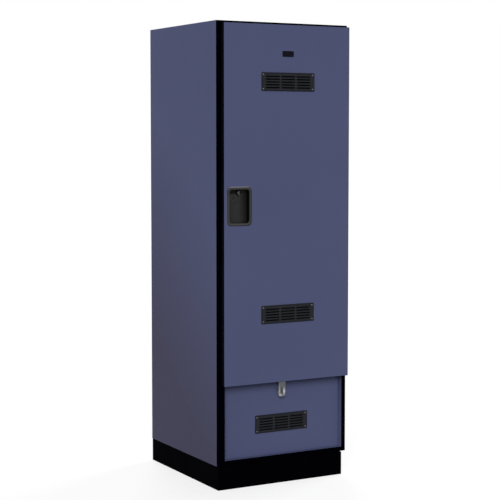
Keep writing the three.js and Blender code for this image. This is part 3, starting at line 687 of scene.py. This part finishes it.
numberPlate = {
    "rim": ((0, 4, 0.6), (0.5, 3.75, 0.15), (1.4, 3.3, 0), (4.8, 1.6, 0), (5.8, 1.3, 0.5)),
    "shade": (0.0035, 0.0035, 0.0065, 1),
    "specular": 0.05,
    "roughness": (0.35, 0.5),
}


def makeNumberPlate():
    box = measure("number_plate")
    plateBlack = plasticFinish("black plastic of the number plate", numberPlate["shade"],
                               numberPlate["specular"], roughness=numberPlate["roughness"])
    shape = stack(onRear(box), rimLevels(box, numberPlate["rim"]))
    addPiece("number_plate_frame", shape, "door", plateBlack, ["number_plate"])


# recessed handle

handle = {
    "depth": 20, "wall": 2, "rim": 12, "outerCorner": 18,
    "cornerDrawn": 0.3,  # how much the outer corner tightens for each millimetre inward
    "innerCorner": 13, "leftFillet": 16, "rightFillet": 4, "endFillet": 3,
    "shell": (1, 0.9, 0.7, 0.4, 0),  # sections of the back, as shares of the depth
    "shellInset": 0.3,
    "lip": ((0, 0.4), (0, 0.8), (0.5, 1.2), (1.4, 1.6), (2.7, 2), (4, 2.3), (5, 2.4), (8.4, 2.4)),
    "mouth": ((9.5, 2.2), (10.6, 1.7), (11.5, 0.9), (11.9, 0.2), (12, -0.4)),
    "bowl": (0.12, 0.25, 0.4, 0.55, 0.68, 0.79, 0.88, 0.94, 0.98, 1),
    "slot": (7.8, 23.8),  # for the padlock eye
    "slotCorner": 1.2,
    "slotReach": (5, 4.5),  # behind the wall and in front of the bowl's floor
    "bossRadius": 13, "bossRing": 4.4, "bossRise": 1.3, "bossSink": 0.6,
    "bossTop": (5.6, 5), "bossGap": 0.05, "screw": (4.2, 1.5), "screwSeat": 0.5,
    "shank": (2, 3.5), "black": (0.0185, 0.0185, 0.0188, 1),
    "ring": (0.028, 0.028, 0.0284, 1), "boss": (0.0125, 0.0125, 0.0128, 1),
}
paintedCupLightAndShade = {  # painted light and shade of the handle: distances from the middle of the cup on the door's face, and tones
    "bowlShadeAcross": (8, 37), "bowlShadeUp": (49, 53), "bowlShadeTone": 0.05,
    "lipForward": (-2.3, -1.8), "lipUp": (68.8, 70), "lipDown": (-71, -67),
    "litLipTones": (2.05, 2.6), "topHighlight": (78.3, 79.2), "topHighlightTone": 13,
}
cup, board = measure("handle_cup"), measure("door").low.y
cupMiddle = Vector((cup.middle.x, board, cup.middle.z))


# Painted light and shade: a painted shade over the right of the bowl and a band under the lip, a painted
# light on the lip that is paler still at the bottom, and a painted highlight along its top edge
def paintHandleLight(tree, place, tone, shade):
    axes = addNode(tree, "SeparateXYZ", {"Vector": place}).outputs
    # painted shade over the right of the bowl and a band under the lip
    fromLeft = ramp(tree, axes["X"], cupMiddle.x, paintedCupLightAndShade["bowlShadeAcross"], 1, 0)
    fromTop = ramp(tree, axes["Z"], cupMiddle.z, paintedCupLightAndShade["bowlShadeUp"], 1, 0)
    bowl = numberMath(tree, "MULTIPLY", fromLeft, fromTop)
    tone = blend(tree, bowl, scaled(shade, paintedCupLightAndShade["bowlShadeTone"]), tone)
    # painted light on the lip, paler still at the bottom
    proud = ramp(tree, axes["Y"], cupMiddle.y, paintedCupLightAndShade["lipForward"], 1, 0)
    above = ramp(tree, axes["Z"], cupMiddle.z, paintedCupLightAndShade["lipUp"])
    lip = numberMath(tree, "MAXIMUM", proud, above)
    low = ramp(tree, axes["Z"], cupMiddle.z, paintedCupLightAndShade["lipDown"], 1, 0)
    edgeWearAndHighlight = blend(tree, low, *(scaled(shade, lipTone) for lipTone in paintedCupLightAndShade["litLipTones"]))
    tone = blend(tree, lip, tone, edgeWearAndHighlight)
    # a painted highlight along the lip's top edge
    topHighlight = ramp(tree, axes["Z"], cupMiddle.z, paintedCupLightAndShade["topHighlight"])
    return blend(tree, topHighlight, tone, scaled(shade, paintedCupLightAndShade["topHighlightTone"]))


cupBlack = plasticFinish("black plastic of the handle", handle["black"], 0.1, paintHandleLight)
bossRubbed = plasticFinish("paler rings of the handle", handle["ring"], 0.1, paintHandleLight)
bossBlack = plasticFinish("bosses of the handle", handle["boss"], 0.08, paintHandleLight)
screwBlack = steelFinish("blackened screws", (0.028, 0.028, 0.028, 1), (0.35, 0.5))


# Section of the bowl at a share of its depth: it draws in gently on the left and steeply on the right
def bowlOutline(share, grow):
    drawn = 1 - sqrt(1 - share * share)
    left, right = handle["leftFillet"] * drawn, handle["rightFillet"] * drawn
    openWidth, openHeight = cup.width - handle["rim"] * 2, cup.height - handle["rim"] * 2
    return rounded(
        openWidth + grow * 2 - left - right, openHeight + grow * 2 - drawn * handle["endFillet"] * 2,
        handle["innerCorner"], shift=((left - right) / 2, 0),
    )


def lipOutline(inset, corner):
    return rounded(cup.width - inset * 2, cup.height - inset * 2, corner)


# From the back forward, then over the lip and down into the bowl
def makeCup():
    depth, wall, outerCorner, inset = pick(handle, "depth wall outerCorner shellInset")
    levels = [(bowlOutline(share, wall), -(depth + wall) * share) for share in handle["shell"]]
    levels.append((lipOutline(inset, outerCorner - inset), 0))
    for inset, out in handle["lip"]:
        levels.append((lipOutline(inset, outerCorner - inset * handle["cornerDrawn"]), out))
    levels += [(lipOutline(inset, handle["innerCorner"]), out) for inset, out in handle["mouth"]]
    levels += [(bowlOutline(share, 0), -depth * share) for share in handle["bowl"]]
    shape = stack(facing(cupMiddle, forward), levels)
    slotPlace = facing((cupMiddle.x, board, measure("padlock_eye").middle.z), forward)
    behind, before = handle["slotReach"]
    slot = bar(slotPlace, rounded(*handle["slot"], handle["slotCorner"], 4), -depth - wall - behind,
               -depth + before)
    shape = combine(shape, slot, "DIFFERENCE")
    addPiece("handle_cup_shell", shape, "door", cupBlack, ["handle_cup"])


def makeBoss(side):
    spot = measure(f"cup_screw_{side}").middle
    place = facing((spot.x, board + handle["depth"] * mm, spot.z), forward)
    radius, rise, sink, width, gap = pick(handle, "bossRadius bossRise bossSink bossRing bossGap")
    seat = handle["screwSeat"]
    inner = radius - width
    ring = turned(place, [
        (inner, -sink), (radius, -sink), (radius, rise * 0.45), (radius - 0.35, rise * 0.85),
        (radius - 1.1, rise), (inner + 1, rise), (inner + 0.3, rise * 0.8), (inner, rise * 0.4),
    ], 48, closed=True)
    addPiece(f"cup_ring_{side}", ring, "door", bossRubbed)
    outer = inner - gap
    foot, top = handle["bossTop"]
    boss = turned(place, [
        (0, -sink), (outer, -sink), (outer, rise * 0.3), (foot, rise * 0.3), (top, rise * 0.8),
        (0, rise * 0.8),
    ], 48)
    addPiece(f"cup_boss_{side}", boss, "door", bossBlack)
    screw = bmesh.new()
    addScrew(screw, facing(place(0, 0, seat), forward), *handle["screw"],
             screwHead["turn"] if side == "left" else 0)
    shank, shankLength = handle["shank"]
    turned(place, [(0, -shankLength), (shank, -shankLength), (shank, seat), (0, seat)], 20, shape=screw)
    addPiece(f"cup_screw_{side}_head", screw, "door", screwBlack, [f"cup_screw_{side}"])


makeNumberPlate()
makeCup()
makeBoss("left")
makeBoss("right")
print("handle and number plate made")


# padlock eye: a bracket on the left side whose tab stands forward through the handle

padlockEye = {
    "tall": 21, "thickness": 3, "tipRadius": 7, "holeRadius": 4,
    "armThickness": 2.5, "armCorner": 0.8, "armBehindDoor": 5.5,
    "plate": (46, 50), "plateCorner": 5, "screwAt": (8, 16), "screwHole": 2.2, "screw": (4, 1.8, 0),
    # the tab's paler edges are a painted highlight
    "ease": 0.45, "shade": (0.075, 0.075, 0.076, 1), "edgeWearAndHighlight": (1.4, 0.95, 6),
}


def makePadlockEye():
    eye = measure("padlock_eye")
    thick, arm, tip, tall = pick(padlockEye, "thickness armThickness tipRadius tall")
    armFront = measure("door").high.y + padlockEye["armBehindDoor"] * mm
    rear = -(armFront - eye.low.y) / mm - arm
    tabPlace = facing((cup.middle.x - thick / 2 * mm, eye.low.y, eye.middle.z), leftward)
    outline = tongue(rear, tall, tip / 2, tip)
    shape = plate(tabPlace, outline, -thick, 0, [(-tip, 0)], padlockEye["holeRadius"], 28)
    armWidth = (cup.middle.x - eye.low.x) / mm + thick / 2
    armMiddle = facing(((eye.low.x + cup.middle.x) / 2, armFront, eye.middle.z), forward)(thick / 4, 0, 0)
    armOutline = rounded(armWidth, tall, padlockEye["armCorner"], 4)
    shape = combine(shape, bar(facing(armMiddle, forward), armOutline, -arm, 0), "UNION")
    plateDeep, plateTall = padlockEye["plate"]
    place = facing((eye.low.x, armFront + plateDeep / 2 * mm, eye.middle.z), rightward)
    screwBack, screwUp = padlockEye["screwAt"]
    spots = ((screwBack, -screwUp), (screwBack, screwUp))
    plateOutline = rounded(plateDeep, plateTall, padlockEye["plateCorner"])
    shape = combine(shape, plate(place, plateOutline, 0, arm, spots, padlockEye["screwHole"]), "UNION")
    zincEye = steelFinish("zinc of the padlock eye, rubbed at its edges", padlockEye["shade"],
                          edgeWearAndHighlight=padlockEye["edgeWearAndHighlight"])
    addPiece("padlock_eye_bracket", shape, "carcass", zincEye, ["padlock_eye"], padlockEye["ease"])
    addScrews("padlock_eye", place, spots, arm, rightward, padlockEye["screw"], "carcass", zinc, 0)


# hasp: leaf on the lid's edge, and the strap that hangs from it

hasp = {
    "thickness": 2, "knuckleRadius": 3.5, "knuckleWidth": 12, "knuckleGap": 0.3,
    "boreRadius": 1.95, "corner": 9, "shoulderCorner": 2,
    "shoulderGap": 1.4,  # under the knuckle
    "shoulderFall": 0.5,  # from the neck to the strap's edges
    "slot": (8, 30), "slotFromEnd": 9.5,
    "slotRoundness": 0.45,  # corner, as a share of the width
    "collarGrow": 7,  # the collar is this much larger than the slot
    "collarRise": 0.5, "strapEase": 0.22, "leafEase": 0.3, "leafCorner": 1.5,
    "leafScrewAt": (10.5, 6.5),  # from the middle and from the upper edge
    "leafScrewHole": 2, "leafScrew": (3.4, 0.9, 0.3), "roomReach": 3,
    # the strap's paler edges are a painted highlight
    "shade": (0.118, 0.12, 0.128, 1), "edgeWearAndHighlight": (1, 0.9, 2.6),
    # place, size and gain of each painted highlight
    "paintedHighlights": (((8.5, 22), (7.5, 15), 5), ((-7, 9), (9, 7), 3.6), ((-15, 22), (3.8, 27), 4)),
    "highlightSpan": (0.2, 1.3), "scratchScale": 1100, "scratchStretch": (1, 1, 0.3),
    "scratchSpan": (0.36, 0.56),
}
strap, haspPin = measure("hasp_strap"), measure("hasp_pin").middle
strapEnd = Vector((strap.middle.x, 0, strap.low.z))
pinLine = facing((strap.middle.x, haspPin.y, haspPin.z), rightward)


# Painted highlights: bright patches beside and below the slot and along the left edge, broken up by
# scratches
def strapHighlights(tree, place, tone, shade):
    scratches = noise(tree, place, hasp["scratchScale"], 3, hasp["scratchStretch"])
    scratches = remap(tree, scratches, 0, 1, *hasp["scratchSpan"])
    for (right, up), size, gain in hasp["paintedHighlights"]:
        away = vectorMath(tree, "SUBTRACT", place, strapEnd + Vector((right, 0, up)) * mm)
        stretched = vectorMath(tree, "MULTIPLY", away, (1 / (size[0] * mm), 0, 1 / (size[1] * mm)))
        span = vectorMath(tree, "LENGTH", stretched, output="Value")
        mask = numberMath(tree, "MULTIPLY", remap(tree, span, 1, 0, *hasp["highlightSpan"]), scratches)
        tone = blend(tree, mask, tone, scaled(shade, gain))
    return tone


def makeStrap():
    radius, thick, corner, turn = pick(hasp, "knuckleRadius thickness corner shoulderCorner")
    edge, half = strap.width / 2, hasp["knuckleWidth"] / 2
    place = facing((strap.middle.x, haspPin.y, strap.low.z), forward)
    pinUp = (haspPin.z - strap.low.z) / mm
    shoulder = pinUp - radius - hasp["shoulderGap"]
    shoulderLow = shoulder - turn - hasp["shoulderFall"]
    outline = [
        *arc(edge - corner, corner, corner, -90, 0), *arc(edge - turn, shoulderLow, turn, 0, 90, 4),
        (half, shoulder), (half, pinUp), (-half, pinUp), (-half, shoulder),
        *arc(-edge + turn, shoulderLow, turn, 90, 180, 4), *arc(-edge + corner, corner, corner, 180, 270),
    ]
    shape = bar(place, outline, -thick / 2, thick / 2)
    slotWidth, slotHeight = hasp["slot"]
    slotAt = (0, hasp["slotFromEnd"] + slotHeight / 2)

    # The slot's outline, or a larger one round it
    def slotOutline(grow):
        corner = (slotWidth + grow) * hasp["slotRoundness"]
        return rounded(slotWidth + grow, slotHeight + grow, corner, 6, slotAt)

    grow, rise, bore = pick(hasp, "collarGrow collarRise boreRadius")
    collar = bar(place, slotOutline(grow), 0, thick / 2 + rise)
    slot = bar(place, slotOutline(0), -thick, thick + rise)
    shape = combine(shape, collar, "UNION")
    shape = combine(shape, slot, "DIFFERENCE")
    shape = combine(shape, bar(pinLine, circle(radius, 28), -half, half), "UNION")
    shape = combine(shape, bar(pinLine, circle(bore, 24), -half - 2, half + 2), "DIFFERENCE")
    zincStrap = steelFinish("zinc of the hasp strap, with painted highlights", hasp["shade"],
                            edgeWearAndHighlight=hasp["edgeWearAndHighlight"], paintedLightAndShade=strapHighlights)
    addPiece("hasp_strap_plate", shape, "strap", zincStrap, ["hasp_strap"], hasp["strapEase"])


def makeLeaf():
    leaf = measure("hasp_leaf")
    radius, thick, gap = pick(hasp, "knuckleRadius thickness knuckleGap")
    half = hasp["knuckleWidth"] / 2
    place = facing((leaf.middle.x, leaf.high.y, (haspPin.z + leaf.high.z) / 2), forward)
    tall = (leaf.high.z - haspPin.z) / mm
    screwRight, screwDown = hasp["leafScrewAt"]
    spots = [(right, tall / 2 - screwDown) for right in (-screwRight, screwRight)]
    outline = rounded(leaf.width, tall, hasp["leafCorner"], 4)
    shape = plate(place, outline, 0, thick, spots, hasp["leafScrewHole"])
    for side in (-1, 1):
        start, end = sorted((side * (half + gap), side * leaf.width / 2))
        shape = combine(shape, bar(pinLine, circle(radius, 28), start, end), "UNION")
    roomOutline = rounded(half * 2 + gap * 2, radius * 2 + gap * 2, 0.2, 2)
    roomPlace = facing((strap.middle.x, haspPin.y, haspPin.z), forward)
    reach = radius + hasp["roomReach"]
    shape = combine(shape, bar(roomPlace, roomOutline, -reach, reach), "DIFFERENCE")
    bore = bar(pinLine, circle(hasp["boreRadius"], 24), -leaf.width, leaf.width)
    shape = combine(shape, bore, "DIFFERENCE")
    addPiece("hasp_leaf_plate", shape, "lid", zinc, ["hasp_leaf"], hasp["leafEase"])
    addScrews("hasp_leaf", place, spots, thick, forward, hasp["leafScrew"], "lid", zinc)


# staple on the foot locker's front, behind the strap

staple = {
    "baseCorner": 3.5, "baseThickness": 2, "baseEase": 0.4,
    "screwAt": 10.5, "screwHole": 1.8, "screw": (2.9, 0.9, 0.2),
    "loopThickness": 4, "loopTall": 23, "loopSink": 1, "loopEase": 1.3,
    "tipWall": 1.9, "hole": (7.6, 13), "holeCorner": 3.4,
}
zincDull = steelFinish("dull zinc of the staple", (0.15, 0.152, 0.16, 1), (0.4, 0.55))
# painted shade: the staple's loop is made dark so that the strap's slot in front of it reads as shadowed,
# and its paler edges are a painted highlight
shadedLoop = steelFinish("zinc of the staple's loop, darkened as painted shade", (0.035, 0.0355, 0.037, 1), (0.4, 0.55),
                       edgeWearAndHighlight=(0.9, 0.6, 3))


def makeStaple():
    box = measure("hasp_staple")
    place = onRear(box)
    reach, baseThick = pick(staple, "screwAt baseThickness")
    spots = [(a, b) for a in (-reach, reach) for b in (-reach, reach)]
    outline = rounded(box.width, box.height, staple["baseCorner"])
    base = plate(place, outline, 0, baseThick, spots, staple["screwHole"], 16)
    addPiece("staple_base", base, "carcass", zincDull, [], staple["baseEase"])
    thick, tall = pick(staple, "loopThickness loopTall")
    side = facing((box.middle.x - thick / 2 * mm, box.low.y, box.middle.z), leftward)
    outline = tongue(-box.depth + staple["loopSink"], tall, tall / 3, tall / 3, 10)
    holeDeep, holeTall = staple["hole"]
    hole = rounded(holeDeep, holeTall, staple["holeCorner"], 8, (-staple["tipWall"] - holeDeep / 2, 0))
    loop = plate(side, outline, -thick, 0, holes=[hole])
    addPiece("staple_loop", loop, "carcass", shadedLoop, ["hasp_staple"], staple["loopEase"])
    spots = [(right * reach, top * reach) for right, top in corners[2:] + corners[:2]]
    addScrews("staple", place, spots, baseThick, forward, staple["screw"], "carcass", zincDull)


makePadlockEye()
makeStrap()
makeLeaf()
makeStaple()
print("padlock eye, hasp and staple made")


# inside the locker: coat rod, hooks, shelf pins and door bumpers

coatRod = {
    "radius": 12.7, "wall": 1.5, "endEase": 0.3,
    "fit": 0.3,  # between the rod and its flanges
    "flangeRadius": 27, "plate": 2.5, "collar": 14, "collarWall": 2.5,
    "screws": 3, "screwCircle": 20.5, "screw": (3.4, 1.3, 0.2),
}


def makeCoatRod():
    rod = measure("coat_rod")
    radius, wall, ease = pick(coatRod, "radius wall endEase")
    half = rod.width / 2
    tube = turned(facing(rod.middle, rightward), [
        (radius - wall, -half), (radius - ease, -half), (radius, -half + ease),
        (radius, half - ease), (radius - ease, half), (radius - wall, half),
    ], 48, closed=True)
    addPiece("coat_rod_tube", tube, "carcass", chrome, ["coat_rod"])


def makeRodFlange(node, normal):
    place = onSide(measure(node), normal)
    inner = coatRod["radius"] + coatRod["fit"]
    outer = inner + coatRod["collarWall"]
    radius, thick, collar = pick(coatRod, "flangeRadius plate collar")
    flange = turned(place, [
        (0, 0), (radius, 0), (radius, thick * 0.55), (radius - 0.5, thick * 0.9), (radius - 1.4, thick),
        (outer + 3, thick), (outer + 1.2, thick + 0.5), (outer + 0.3, thick + 1.6), (outer, thick + 3),
        (outer, collar - 0.7), (outer - 0.4, collar - 0.1), (outer - 1, collar), (inner + 0.3, collar),
        (inner, collar - 0.4), (inner, thick), (0, thick),
    ], 56)
    addPiece(f"{node}_cup", flange, "carcass", zinc, [node])
    spots = arc(0, 0, coatRod["screwCircle"], 90, 450, coatRod["screws"])[:-1]
    addScrews(node, place, spots, thick, normal, coatRod["screw"], "carcass", zinc)


coatHook = {
    "plate": (22, 62), "plateCorner": 8, "plateEase": 0.7, "thickness": 2.5,
    "screwUp": 22, "screwHole": 2.2, "screw": (3.8, 1.6, 0.3),
    "wire": 3, "reach": 34, "rise": 24, "bendSteps": 10, "ball": 5, "ballSteps": 16,
    "neck": ((0, -0.5), (6, -0.5), (6, 0.3), (5, 1.3), (3.6, 2.2), (3, 4), (0, 4)),
}


def makeCoatHook(node, normal):
    box = measure(node)
    width, height = coatHook["plate"]
    wall = onSide(box, normal)(0, 0, 0)
    place = facing((wall.x, wall.y, box.low.z + height / 2 * mm), normal)
    thick, reach, rise, screwUp = pick(coatHook, "thickness reach rise screwUp")
    ball, steps, bends = pick(coatHook, "ball ballSteps bendSteps")
    spots = ((0, -screwUp), (0, screwUp))
    outline = rounded(width, height, coatHook["plateCorner"])
    shape = plate(place, outline, 0, thick, spots, coatHook["screwHole"])
    addPiece(f"{node}_plate", shape, "carcass", chrome, [node], coatHook["plateEase"])
    bend = rise / 2
    points = [place(0, 0, thick * 0.5), place(0, 0, thick + 6), place(0, 0, reach - bend)]
    points += [place(0, up, out) for out, up in arc(reach - bend, bend, bend, -90, 0, bends)[1:]]
    points += [place(0, rise - 4, reach), place(0, rise, reach)]
    shape = wire(points, coatHook["wire"], 24)
    profile = arc(0, 0, ball, -90, 90, steps)[1:-1]
    turned(facing(place(0, rise, reach), upward), [(0, -ball), *profile, (0, ball)], shape=shape)
    turned(facing(place(0, 0, thick), normal), coatHook["neck"], shape=shape)
    addPiece(f"{node}_wire", shape, "carcass", chrome)
    addScrews(node, place, spots, thick, normal, coatHook["screw"], "carcass", chrome, 0)


shelfPin = {"peg": 2.5, "pegTip": 1.9, "pegEase": 0.6, "head": 9}


def makeShelfPin(node, normal):
    box = measure(node)
    place = onSide(box, normal, far=True)
    peg, tip, ease, head = pick(shelfPin, "peg pegTip pegEase head")
    radius = box.height / 2
    shape = turned(place, [
        (0, -box.width), (tip, -box.width), (peg, -box.width + ease),
        (peg, -head), (radius - 0.3, -head), (radius, -head + 0.3), (radius, -0.8),
        (radius - 0.25, -0.25), (radius - 0.8, 0), (0, 0),
    ])
    addPiece(f"{node}_peg", shape, "carcass", zinc, [node])


bumper = {"dome": ((1, 0), (1, 0.35), (0.9, 0.7), (0.66, 0.92), (0.35, 1))}  # shares of radius and height


def makeBumper(node):
    box = measure(node)
    dome = [(box.width / 2 * share, box.depth * up) for share, up in bumper["dome"]]
    shape = turned(onRear(box), [(0, 0), *dome, (0, box.depth)])
    addPiece(f"{node}_dome", shape, "carcass", milky, [node])


sides = (("left", rightward), ("right", leftward))
makeCoatRod()
for side, normal in sides:
    makeRodFlange(f"rod_flange_{side}", normal)
for side, normal in sides:
    makeCoatHook(f"coat_hook_{side}", normal)
for side, normal in sides:
    for end in ("front", "rear"):
        makeShelfPin(f"shelf_pin_{side}_{end}", normal)
for level in ("lower", "upper"):
    makeBumper(f"door_bumper_{level}")
print("rod, hooks, shelf pins and bumpers made")


# door hinges: a cup let into the door, with a flange and two screws

hinge = {
    "cupRadius": 17.5, "wall": 0.8, "flange": 1, "flangeWidth": 22, "flangeCorner": 7,
    "screwSpacing": 38, "screwHole": 2, "screw": (3.6, 1.3, 0.2),
}


def makeHinge(node):
    box = measure(node)
    radius, wall, flange, flangeWidth = pick(hinge, "cupRadius wall flange flangeWidth")
    face = box.high.y - flange * mm
    depth = box.depth - flange
    place = facing((box.low.x + radius * mm, face, box.middle.z), backward)
    bowl = turned(place, [
        (0, -depth), (radius - 1.6, -depth), (radius - 0.4, -depth + 0.5), (radius, -depth + 1.6),
        (radius, flange - 0.3), (radius - 0.2, flange), (radius - wall, flange),
        (radius - wall, -depth + 2.2), (radius - wall - 1, -depth + wall + 0.3),
        (radius - wall - 2, -depth + wall), (0, -depth + wall),
    ], 56)
    earPlace = facing((box.high.x - flangeWidth / 2 * mm, face, box.middle.z), backward)
    spots = [(0, up * hinge["screwSpacing"] / 2) for up in (-1, 1)]
    earOutline = rounded(flangeWidth, box.height, hinge["flangeCorner"])
    ears = plate(earPlace, earOutline, 0, flange, spots, hinge["screwHole"])
    ears = combine(ears, bar(place, circle(radius - wall / 2, 56), -1, flange + 1), "DIFFERENCE")
    addPiece(f"{node}_shell", combine(bowl, ears, "UNION"), "door", zinc, [node])
    addScrews(node, earPlace, spots, flange, backward, hinge["screw"], "door", zinc)


# lid hinge: comb-shaped leaves whose knuckles alternate along one pin

lidHinge = {
    "knuckles": 9, "radius": 3, "bore": 1.68, "gap": 0.6, "knuckleEase": 0.25,
    "leaf": 1.5, "leafWidth": 26, "notch": 3.5,
    "screwAcross": 16, "screwHole": 1.8, "screw": (3.3, 0.6, 0.15),
}


# The first knuckle is the fixed leaf's, so parity says which of them a leaf has
def makeLidLeaf(node, parity, direction, body):
    pin, seat = measure("lid_hinge_pin"), measure(node).low.z
    knuckles, radius, bore, gap, ease, thick = pick(lidHinge, "knuckles radius bore gap knuckleEase leaf")
    pitch = pin.width / knuckles
    place = facing((pin.low.x, pin.middle.y, seat), upward)
    outline = []
    for count in range(knuckles):
        near = 0 if count % 2 == parity else direction * lidHinge["notch"]
        outline += [(count * pitch, near), ((count + 1) * pitch, near)]
    reach = direction * lidHinge["leafWidth"]
    outline += [(pin.width, reach), (0, reach)]
    if direction < 0:
        outline.reverse()
    spots = [(pitch * (count + 0.5), direction * lidHinge["screwAcross"]) for count in range(knuckles)]
    leaf = plate(place, outline, 0, thick, spots, lidHinge["screwHole"], 16)
    along = facing((pin.low.x, pin.middle.y, pin.middle.z), rightward)
    for count in range(parity, knuckles, 2):
        start, end = count * pitch + gap, (count + 1) * pitch - gap
        turned(along, [
            (bore, start), (radius - ease, start), (radius, start + ease), (radius, end - ease),
            (radius - ease, end), (bore, end),
        ], 28, closed=True, shape=leaf)
    addPiece(f"{node}_comb", leaf, body, zincAlong, [node])
    addScrews(node, place, spots, thick, upward, lidHinge["screw"], body, zinc)


for level in hingeLevels:
    makeHinge(f"hinge_cup_{level}")
makeLidLeaf("lid_hinge_fixed_leaf", 0, 1, "carcass")
makeLidLeaf("lid_hinge_moving_leaf", 1, -1, "lid")
print("hinges made")


# camera, light and floor

view = {
    "place": (-2.9561, -5.3512, 1.4659), "tilt": 86.015, "turn": -29.0, "lens": 100.68, "shift": -0.035,
    "farEnd": 60,
}
camera = bpy.data.cameras.new("camera")
camera.lens = view["lens"]
camera.shift_y = view["shift"]
camera.clip_end = view["farEnd"]
scene.camera = addObject("camera", camera)
scene.camera.location = view["place"]
scene.camera.rotation_euler = (radians(view["tilt"]), 0, radians(view["turn"]))

studio = {
    "lampDistance": 6,  # in metres
    "ambient": 0.22, "floorRadius": 30000, "floorBounce": 0.3, "floorShade": 0.3, "floorGlow": 0.68,
}
lamps = {  # degrees from straight in front towards the left, degrees up, strength and softness
    "key": (28, 26, 2.74, 34),
    "side": (83, 20, 0.82, 24),
    "right": (-106, 34, 1.5, 30),
    "rear": (198, 34, 1.6, 30),
}
for name, (azimuth, elevation, strength, softness) in lamps.items():
    sun = bpy.data.lights.new(name, "SUN")
    sun.energy = strength
    sun.angle = radians(softness)
    azimuth, elevation = radians(azimuth), radians(elevation)
    towards = Vector((-sin(azimuth) * cos(elevation), -cos(azimuth) * cos(elevation), sin(elevation)))
    lamp = addObject(name, sun)
    lamp.rotation_euler = towards.to_track_quat("Z", "Y").to_euler()
    lamp.location = towards * studio["lampDistance"]


def grey(value):
    return (value, value, value, 1)


# One shader for the light that falls on the object, and a white one for what is seen, also mirrored
def mixByRay(tree, unseen, seen):
    path = addNode(tree, "LightPath")
    ray = path.outputs["Is Camera Ray"]
    for name in ("Is Glossy Ray", "Is Transmission Ray"):
        ray = numberMath(tree, "MAXIMUM", ray, path.outputs[name])
    mixed = addNode(tree, "MixShader", {0: ray, 1: unseen.outputs[0], 2: seen.outputs[0]})
    return mixed.outputs[0]


world = bpy.data.worlds.new("studio")
scene.world = world
world.use_nodes = True
tree = world.node_tree
tree.nodes.clear()
soft = addNode(tree, "Background", {"Color": grey(1), "Strength": studio["ambient"]})
white = addNode(tree, "Background", {"Color": grey(1), "Strength": 1.0})
addNode(tree, "OutputWorld", {"Surface": mixByRay(tree, soft, white)})

floorFinish, tree, _ = newFinish("pale floor")
bounce = addNode(tree, "BsdfDiffuse", {"Color": grey(studio["floorBounce"])})
shade = addNode(tree, "BsdfDiffuse", {"Color": grey(studio["floorShade"])})
glow = addNode(tree, "Emission", {"Color": grey(1), "Strength": studio["floorGlow"]})
lit = addNode(tree, "AddShader", {0: shade.outputs[0], 1: glow.outputs[0]})
addNode(tree, "OutputMaterial", {"Surface": mixByRay(tree, bounce, lit)})
floorShape = bmesh.new()
floorRing = addRing(floorShape, facing((0, 0, 0), upward), circle(studio["floorRadius"], 96), 0)
floorShape.faces.new(floorRing)
floor = makeObject("floor", floorShape)
floor.data.materials.append(floorFinish)
scene.view_settings.view_transform = "Standard"
print("camera and studio set")
